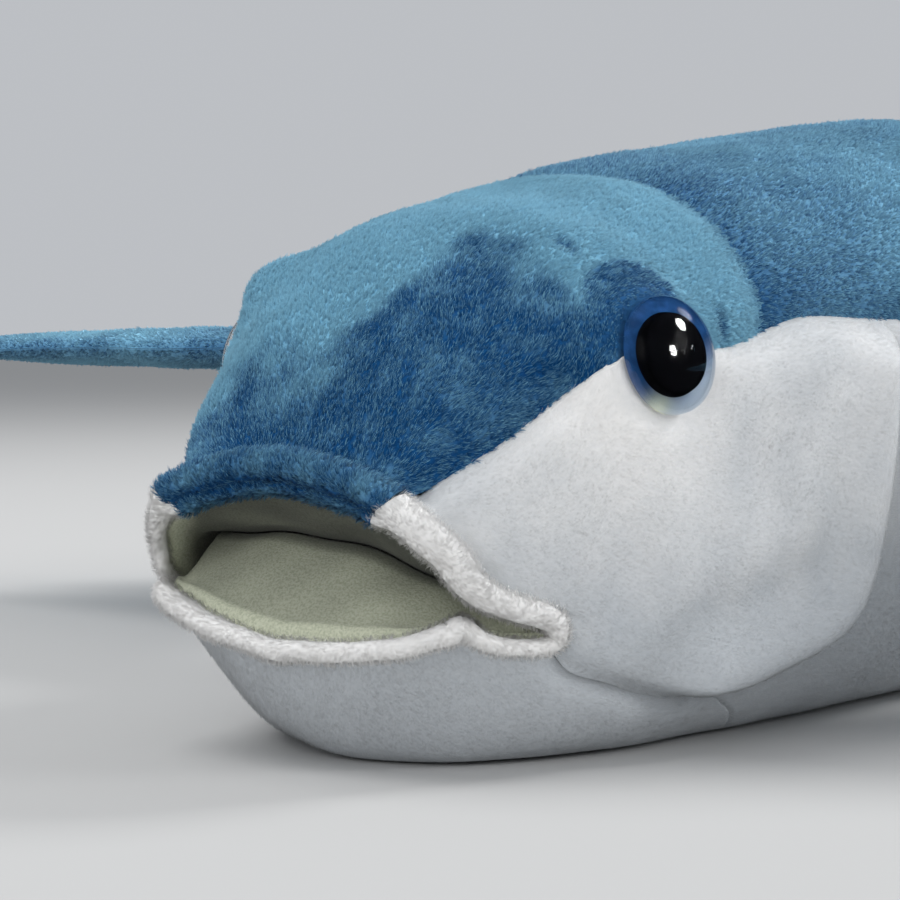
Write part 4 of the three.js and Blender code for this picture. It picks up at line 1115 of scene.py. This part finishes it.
def plain_outline(t, angle):
    k = np.abs(t)
    plain = lip_radius_at(k) * np.where(t < 0, far_lip_at(k), 1.0) + 0 * angle
    return lerp(upper_outline(t, angle), plain, smoothstep(k, 1.0, 1.08))


def lip(name, plush, start, end, outline, seed, painted_shade_and_tone=None, **strands):
    patch = lip_patch(start, end, outline)
    if painted_shade_and_tone is not None:
        patch.painted_shade_and_tone = painted_shade_and_tone(patch.points)
    plush_piece(name + "_roll", name + "_pile", patch, None, plush, "body", name, LIP_FILL, seed, **strands)


def lips():
    lip("upper_lip", BLUE, -1, 1, upper_outline, 31, upper_lip_painted_shade,
        density=34.0, length=1.05, lean=(58, 20), mottle=0.25, spread=22)
    lip("left_lip", WHITE, 1, LIP_END, plain_outline, 37, **FUZZ)
    lip("right_lip", WHITE, -LIP_END, -1, plain_outline, 38, **FUZZ)
    lip("lower_lip", WHITE, 2 * LIP_JOIN - LIP_END, 4 - 2 * LIP_JOIN + LIP_END, plain_outline, 39, **FUZZ)


# Mouth lining
corner_height = on_body(MOUTH_CORNER_DEPTH, CORNER)[2]
pocket_x = profile((0, 0), (0.4, 8), (0.727, 17), (0.85, 22.5), (0.95, 26.5), (1, 28.5))
pocket_back = profile(
    (-0.4, POCKET_DEPTH + 0.3), (0, POCKET_DEPTH), (0.4, POCKET_DEPTH + 0.3),
    (0.727, lerp(POCKET_DEPTH, MOUTH_CORNER_DEPTH, 0.2)),
    (0.85, lerp(POCKET_DEPTH, MOUTH_CORNER_DEPTH, 0.42)),
    (0.95, lerp(POCKET_DEPTH, MOUTH_CORNER_DEPTH, 0.68)),
    (1, lerp(POCKET_DEPTH, MOUTH_CORNER_DEPTH, 0.8)),
)
pocket_rise = profile(
    (-1, corner_height + 1), (-0.95, 28), (-0.85, 29.3), (-0.727, 29.7), (0, 29.4), (0.4, 27.9),
    (0.727, 24.6), (0.85, 22.6), (0.95, 22), (1, corner_height),
)


def pocket_points(u, v, rim, bow, lift):
    k = np.abs(u)
    seam = np.stack([np.sign(u) * pocket_x(k), pocket_back(k) - SNOUT_TO_ORIGIN, pocket_rise(u)], -1)
    p = lerp(rim(u), seam, v[..., None])
    p[..., 2] += bow * np.sin(math.pi * v) * (1 - u * u) + lift
    p[..., 0] -= np.sign(u) * 0.9 * smoothstep(k, 0.6, 0.88) * bump(v, 0.35, 0.3)
    p = p + 0.18 * ripple(p, 13, 47)[..., None] * [0, 0.4, 1]
    return p


def palate_rim(u):
    return rim_point(CORNER * u)


def floor_rim(u):
    return rim_point(np.where(u < 0, -2 - (2 - CORNER) * u, 2 - (2 - CORNER) * u))


def lining(name, node, rim, bow, drop, way, dark):
    """A lining from the mouth's rim to the pocket's inner seam, facing down for way -1 and up for 1."""
    u, v = np.meshgrid(np.linspace(-0.985, 0.985, 110), np.linspace(0, 1, 40), indexing="ij")
    thick = drop * (0.2 + 0.8 * smoothstep(v, 0.05, 0.35))
    outer = pocket_points(u, v, rim, bow, -way * 0.02)
    outer[..., 1] += 1.0 * smoothstep(v, 0.86, 1.0)
    inner = outer + thick[..., None] * np.array([0.0, 0.0, 1.0])
    if way > 0:
        outer[..., 2] += 1.0 * bump(v, 0.11, 0.08)
    hint = np.broadcast_to([0.0, -0.6, 0.8 * way], outer.shape)
    patch = Patch(outer, -np.gradient(outer, axis=1), hint)
    # Painted shade over the lining, deepening towards the inner seam, and painted light on its front roll,
    # which widens towards the side walls
    lining_painted_shade = dark + 0.06 * ripple(outer, 9, 47) + 0.5 * smoothstep(v, 0.84, 0.99)
    wall = 0.4 * smoothstep(np.abs(u), 0.68, 0.85)
    patch.painted_shade_and_tone = np.clip(lining_painted_shade * smoothstep(v, 0.14 - wall / 3, 0.21 + wall), 0, 1)
    piece = shell(name, patch, inner, lining_cloth)
    finish_piece(piece, "body", node)


def linings():
    # The palate gets deep painted shade inside the mouth, the floor lighter painted shade
    lining("palate_lining", "mouth_palate", palate_rim, 0.0, LINING, -1, 0.95)
    lining("floor_lining", "mouth_floor", floor_rim, FLOOR_BOW, -FLOOR_DROP, 1, 0.37)


# Eyes
def dome_knots(radius, side, height, steps=14):
    k = np.linspace(0, math.pi / 2, steps)[:-1]
    return [(radius * math.cos(a), side + (height - side) * math.sin(a)) for a in k] + [(0.02, height)]


def lathe_object(name, knots, place, direction, materials, slots, sides=96):
    """A turned piece through knots of radius and height, with a material slot for each band."""
    first = unit(np.cross(direction, [0.0, 0.0, 1.0]))
    angle = np.linspace(0, 2 * math.pi, sides, endpoint=False)
    round_way = swing(angle, first, np.cross(direction, first))
    r, h = np.array(knots, float).T
    grid = place + r[:, None, None] * round_way[None] + h[:, None, None] * direction
    rows = len(knots)
    first = np.arange(sides)[None]
    faces = [cells(rows, sides, True), first[:, ::-1], first + (rows - 1) * sides]
    slots = [*np.repeat(slots, sides), slots[0], slots[-1]]
    piece = mesh_object(name, grid.reshape(-1, 3), faces, materials, slots)
    mesh = piece.data
    if sum(p.normal.dot(p.center - Vector(place * MM)) * p.area for p in mesh.polygons) < 0:
        mesh.flip_normals()
    return piece


def eye_dome(side, flip, base):
    """The clear dome, with the iris painted on its flat back and a recess for the pupil."""
    recess = dome_knots(PUPIL_RADIUS + SEAM_GAP, 1.0, PUPIL_HEIGHT + SEAM_GAP)[::-1]
    knots = [*recess, (PUPIL_RADIUS + SEAM_GAP, 0), (EYE_RADIUS - 0.5, 0), (EYE_RADIUS, 0.25)]
    knots = [*knots, *dome_knots(EYE_RADIUS, 1.2, EYE_HEIGHT, 22)]
    slots = [2] * len(recess) + [1, 0] + [0] * (len(knots) - len(recess) - 3)
    materials = [clear_plastic, iris_paint, pupil_face]
    dome = lathe_object(side + "_eye_clear", knots, base, eye_axis * flip, materials, slots)
    spots = np.array([v.co for v in dome.data.vertices]) / MM - base
    # Where the painted reflection of white cloth falls on the iris: its lower side, towards the tail
    down = dot(spots, np.array([0.0, 0.62, -0.78]))
    # A painted caustic spot low at the front of the iris
    apart = spots - (eye_up * -6.6 - eye_back * 2.2) * flip
    write_values(dome.data, "pale", smoothstep(down, 2.0, 6.5))
    write_values(dome.data, "painted_caustic", bump(np.linalg.norm(apart, axis=1), 0, 2.0))
    finish_piece(dome, "body", side + "_eye_dome")


def eye_pupil(side, flip, base):
    """The black pupil with the ribbed stem that goes through the cloth."""
    ribs = np.linspace(-STEM_LENGTH + 0.8, -4.5, 19)
    knots = [(0.02, -STEM_LENGTH), (STEM_RADIUS * 0.8, -STEM_LENGTH)]
    knots += [(STEM_RADIUS - 0.25 * (k % 2), h) for k, h in enumerate(ribs)]
    knots += [(STEM_RADIUS, 0), (PUPIL_RADIUS - 0.3, 0), *dome_knots(PUPIL_RADIUS, 0.9, PUPIL_HEIGHT)]
    slots = [0] * (len(knots) - 1)
    pupil = lathe_object(side + "_eye_black", knots, base, eye_axis * flip, [black_plastic], slots)
    finish_piece(pupil, "body", side + "_eye_pupil")


def eyes():
    for side, flip, sunk in (("left", np.ones(3), 0.0), ("right", MIRROR, RIGHT_EYE_SUNK)):
        base = (eye_place + eye_axis * (SEAM_GAP - sunk)) * flip
        eye_dome(side, flip, base)
        eye_pupil(side, flip, base)
        dress_solid(side + "_eye_washer", washer_plastic)


# Fibre fill inside the skin
def stuffing():
    rings = 90
    s = np.linspace(25, BODY_END - TAIL_CLOSE - 4, rings)
    t = np.linspace(-2, 2, 80, endpoint=False)
    s, t = np.meshgrid(s, t, indexing="ij")
    back, up, _ = eye_frame(on_body(s, t))
    plain = skin(s, t, -4.6 - 14 * bump(np.hypot(back, up), 0, 13))
    from_end = np.minimum(np.arange(rings), np.arange(rings)[::-1])
    close = np.sqrt(np.clip((from_end + 0.1)[:, None, None] / 5, 0.02, 1))
    middle = plain.mean(1, keepdims=True)
    points = middle + (plain - middle) * close
    points = points + outward(s, t) * (0.7 * ripple(points, 9, 61) - 0.4)[..., None]
    patch = Patch(points, way_back(s, t), outward(s, t), closed=True)
    finish_piece(tube("stuffing", patch, fibre_fill), "body", "fibre_fill")


# Fins: lengths in millimetres, and the angles of the first and last ray in degrees
Fin = namedtuple("Fin", "joint out along chord radius length rays angles quilt seed lengths")
OUT, BACK, UP, DOWN = (1, 0, 0), (0, 1, 0), (0, 0, 1), (0, 0, -1)
WING = Fin(
    "left_wing_flap", OUT, BACK, 44.013, 3.0, 178.0, 7, (12, 60), FIN_QUILT, 101,
    profile((0, 0.965), (0.12, 1), (0.35, 0.9), (0.7, 0.66), (1, 0.46)),
)
PELVIC = Fin(
    "left_pelvic_flap", OUT, BACK, 24.56, 2.6, 72.0, 4, (28, 66), FIN_QUILT * 0.8, 131,
    profile((0, 0.92), (0.25, 1), (0.65, 0.8), (1, 0.58)),
)
DORSAL = Fin(
    "dorsal_flop", UP, BACK, 50.986, 2.4, 36.0, 5, (22, 58), FIN_QUILT * 0.6, 151,
    profile((0, 0.85), (0.2, 1), (0.6, 0.74), (1, 0.55)),
)
ANAL = Fin(
    "anal_flop", DOWN, BACK, 35.192, 2.4, 18.0, 4, (30, 62), FIN_QUILT * 0.5, 171,
    profile((0, 0.8), (0.25, 1), (1, 0.75)),
)
TAIL = Fin(
    "tail_swing", BACK, UP, 28.0, 4.4, 92.6, 7, (-24, 38), FIN_QUILT, 191,
    profile((0, 0.87), (0.13, 1.04), (0.3, 0.74), (0.52, 0.46), (0.74, 0.68), (0.9, 0.96), (1, 0.86)),
)


def fin_frame(fin):
    """The middle of a fin's root line, the way along it, the way out of it and the way off its face."""
    data = next(j for j in frame["joints"] if j["name"] == fin.joint)
    along = unit(np.array(data["axis"], float))
    along = along * np.sign(dot(along, np.array(fin.along, float)))
    out = np.array(fin.out, float)
    out = unit(out - along * dot(out, along))
    return np.array(data["pos_m"]) / MM, along, out, np.cross(out, along)


def fin_patch(fin, side):
    """One face of a fin, quilted along its rays, and the grid behind it."""
    middle, along, out, face = fin_frame(fin)
    u = even(0, 1, 1.5, fin.length)
    v = np.linspace(0, 1, fin.rays * 14 + 1)
    u, v = np.meshgrid(u, v, indexing="ij")
    angle = np.radians(lerp(*fin.angles, v))
    reach = fin.lengths(v) * fin.length
    across = fin.chord * (v - 0.5) + reach * u * np.sin(angle)
    away = fin.radius + SEAM_GAP + reach * u * np.cos(angle)
    flat = middle + along * across[..., None] + out * away[..., None]
    ridge = np.abs(np.sin(math.pi * fin.rays * v))
    puff = (1 - u**6) * (1 - (2 * v - 1) ** 8) * (0.5 + 0.5 * np.minimum(1, u / 0.2))
    outside = FIN_EDGE + puff * (FIN_GROOVE + fin.quilt * ridge)
    inside = 0.02 + puff * (FIN_GROOVE * 0.75 + fin.quilt * ridge)
    breadth = np.linalg.norm(flat[:, 1:] - flat[:, :-1], axis=-1).sum(1, keepdims=True)
    from_edge = np.minimum(np.minimum(v, 1 - v) * breadth, (1 - u) * reach)
    roll = np.sqrt(np.clip(1 - (1 - np.clip(from_edge / FIN_ROLL, 0, 1)) ** 2, 0, 1))
    pucker = FIN_PUCKER * ripple(flat, 6, fin.seed) * bump(ridge, 0, 0.45) * puff
    sag = FIN_SAG * ripple(flat, 30, fin.seed + 1) * u
    height = (outside + pucker) * (0.12 + 0.88 * roll)
    inner = np.minimum(inside, height * 0.85)
    face_way = face * side
    shift = face * sag[..., None]
    outer = flat + shift + face_way * height[..., None]
    behind = flat + shift + face_way * inner[..., None]
    patch = Patch(outer, np.gradient(flat, axis=0), np.broadcast_to(face_way, outer.shape))
    # Painted shade along the quilted grooves, over random tone
    dark = 0.2 + 0.35 * bump(ridge, 0, 0.3) + 0.18 * ripple(flat, 24, fin.seed + 2)
    patch.painted_shade_and_tone = np.clip(dark, 0, 1)
    return patch, behind


def root_patch(fin):
    """The rolled and gathered seam that sews a fin on."""
    middle, along, out, face = fin_frame(fin)
    k = np.linspace(-0.5, 0.5, 80)
    angle = np.linspace(0, 2 * math.pi, 28, endpoint=False)
    ends = np.sqrt(np.clip((0.5 - np.abs(k)) * fin.chord / fin.radius, 0.01, 1))
    k, angle = np.meshgrid(k, angle, indexing="ij")
    way = swing(angle, out, face)
    centre = middle + along * (k * fin.chord)[..., None]
    gather = 0.05 * np.cos(2 * math.pi * k * fin.chord / 3.2)
    radius = fin.radius * (0.95 + gather) * ends[:, None]
    points = centre + way * radius[..., None]
    lay = np.cross(np.broadcast_to(along, way.shape), way) * np.sign(np.sin(angle) + 1e-6)[..., None]
    return Patch(points, -lay, way, closed=True)


def fin_pieces(name, faces, body, fin, mirror=False):
    patches = [fin_patch(fin, 1), fin_patch(fin, -1)]
    root = root_patch(fin)
    if mirror:
        patches = [(p.mirrored(), inner * MIRROR) for p, inner in patches]
        root = root.mirrored()
    strands = {"length": BLUE_LENGTH, "width": COARSE}
    for face, (patch, inner) in zip(faces, patches):
        node = name + "_" + face
        seed = fin.seed + len(node)
        plush_piece(node + "_plush", node + "_pile", patch, inner, BLUE, body, node, FIN_FILL, seed,
                    density=10.0, **strands)
    plush_piece(name + "_seam_roll", name + "_seam_pile", root, None, BLUE, body, name + "_root_seam",
                ROOT_FILL, fin.seed + 7, density=12.0, **strands)
    dress_solid(name + "_batting", fibre_fill)


def all_fins():
    for side, mirror in (("left", False), ("right", True)):
        fin_pieces(side + "_wing", ("upper", "lower"), side + "_wing_fin", WING, mirror)
        fin_pieces(side + "_pelvic", ("upper", "lower"), side + "_pelvic_fin", PELVIC, mirror)
    fin_pieces("dorsal", ("left", "right"), "dorsal_fin", DORSAL)
    fin_pieces("anal", ("left", "right"), "anal_fin", ANAL)
    fin_pieces("tail", ("left", "right"), "tail_fin", TAIL)


# Camera, floor and light
def add_camera():
    right = np.array([math.cos(VIEW_AZIMUTH), math.sin(VIEW_AZIMUTH), 0])
    ahead = np.array([-math.sin(VIEW_AZIMUTH), math.cos(VIEW_AZIMUTH), 0])
    place = right * CAMERA_ASIDE - ahead * CAMERA_DEPTH + [0, SNOUT_Y, CAMERA_HEIGHT]
    pitch = math.atan((FRAME_PIXELS / 2 - HORIZON_PIXEL) / FOCAL_PIXELS)
    look = Vector(ahead * math.cos(pitch) - np.array([0, 0, math.sin(pitch)]))
    data = bpy.data.cameras.new("camera")
    data.sensor_width = 36
    data.lens = data.sensor_width * FOCAL_PIXELS / FRAME_PIXELS
    data.clip_start, data.clip_end = 0.01, 50
    camera = put_in_scene("camera", data)
    camera.location = place * MM
    camera.rotation_euler = look.to_track_quat("-Z", "Y").to_euler()
    bpy.context.scene.camera = camera


def add_floor():
    corners = np.array([(-1, -1, 0), (1, -1, 0), (1, 1, 0), (-1, 1, 0)]) * FLOOR_REACH
    material, tree, shader = new_material("pale_floor", FLOOR_PALE, 0.7, Specular_IOR_Level=0.0)
    clouds = noise(tree, 3, 2.0)
    colour = mixed(tree, clouds, tuple(c * 0.98 for c in FLOOR_PALE), FLOOR_PALE)
    tree.links.new(colour, shader.inputs["Base Color"])
    floor = mesh_object("floor", corners, [np.array([[0, 1, 2, 3]])], [material])
    floor.visible_glossy = False


def add_lamp(name, place, target, size, power, glint):
    """A soft lamp that lights cloth, or one that only glints in the eyes."""
    data = bpy.data.lights.new(name, "AREA")
    data.shape, data.size, data.energy = "DISK", size, power
    lamp = put_in_scene(name, data)
    lamp.location = place
    lamp.rotation_euler = (Vector(target) - Vector(place)).to_track_quat("-Z", "Y").to_euler()
    lamp.visible_camera = False
    lamp.visible_glossy = glint
    lamp.visible_diffuse = not glint


def add_light():
    for lamp in LAMPS:
        add_lamp(*lamp)
    world = bpy.data.worlds.new("studio")
    world.use_nodes = True
    bpy.context.scene.world = world
    world.cycles_visibility.glossy = False
    sky = world.node_tree.nodes["Background"]
    sky.inputs["Color"].default_value = SKY
    sky.inputs["Strength"].default_value = SKY_STRENGTH


bpy.context.scene.view_settings.view_transform = "Standard"
add_camera()
add_floor()
add_light()
body_panels()
lips()
linings()
eyes()
stuffing()
all_fins()
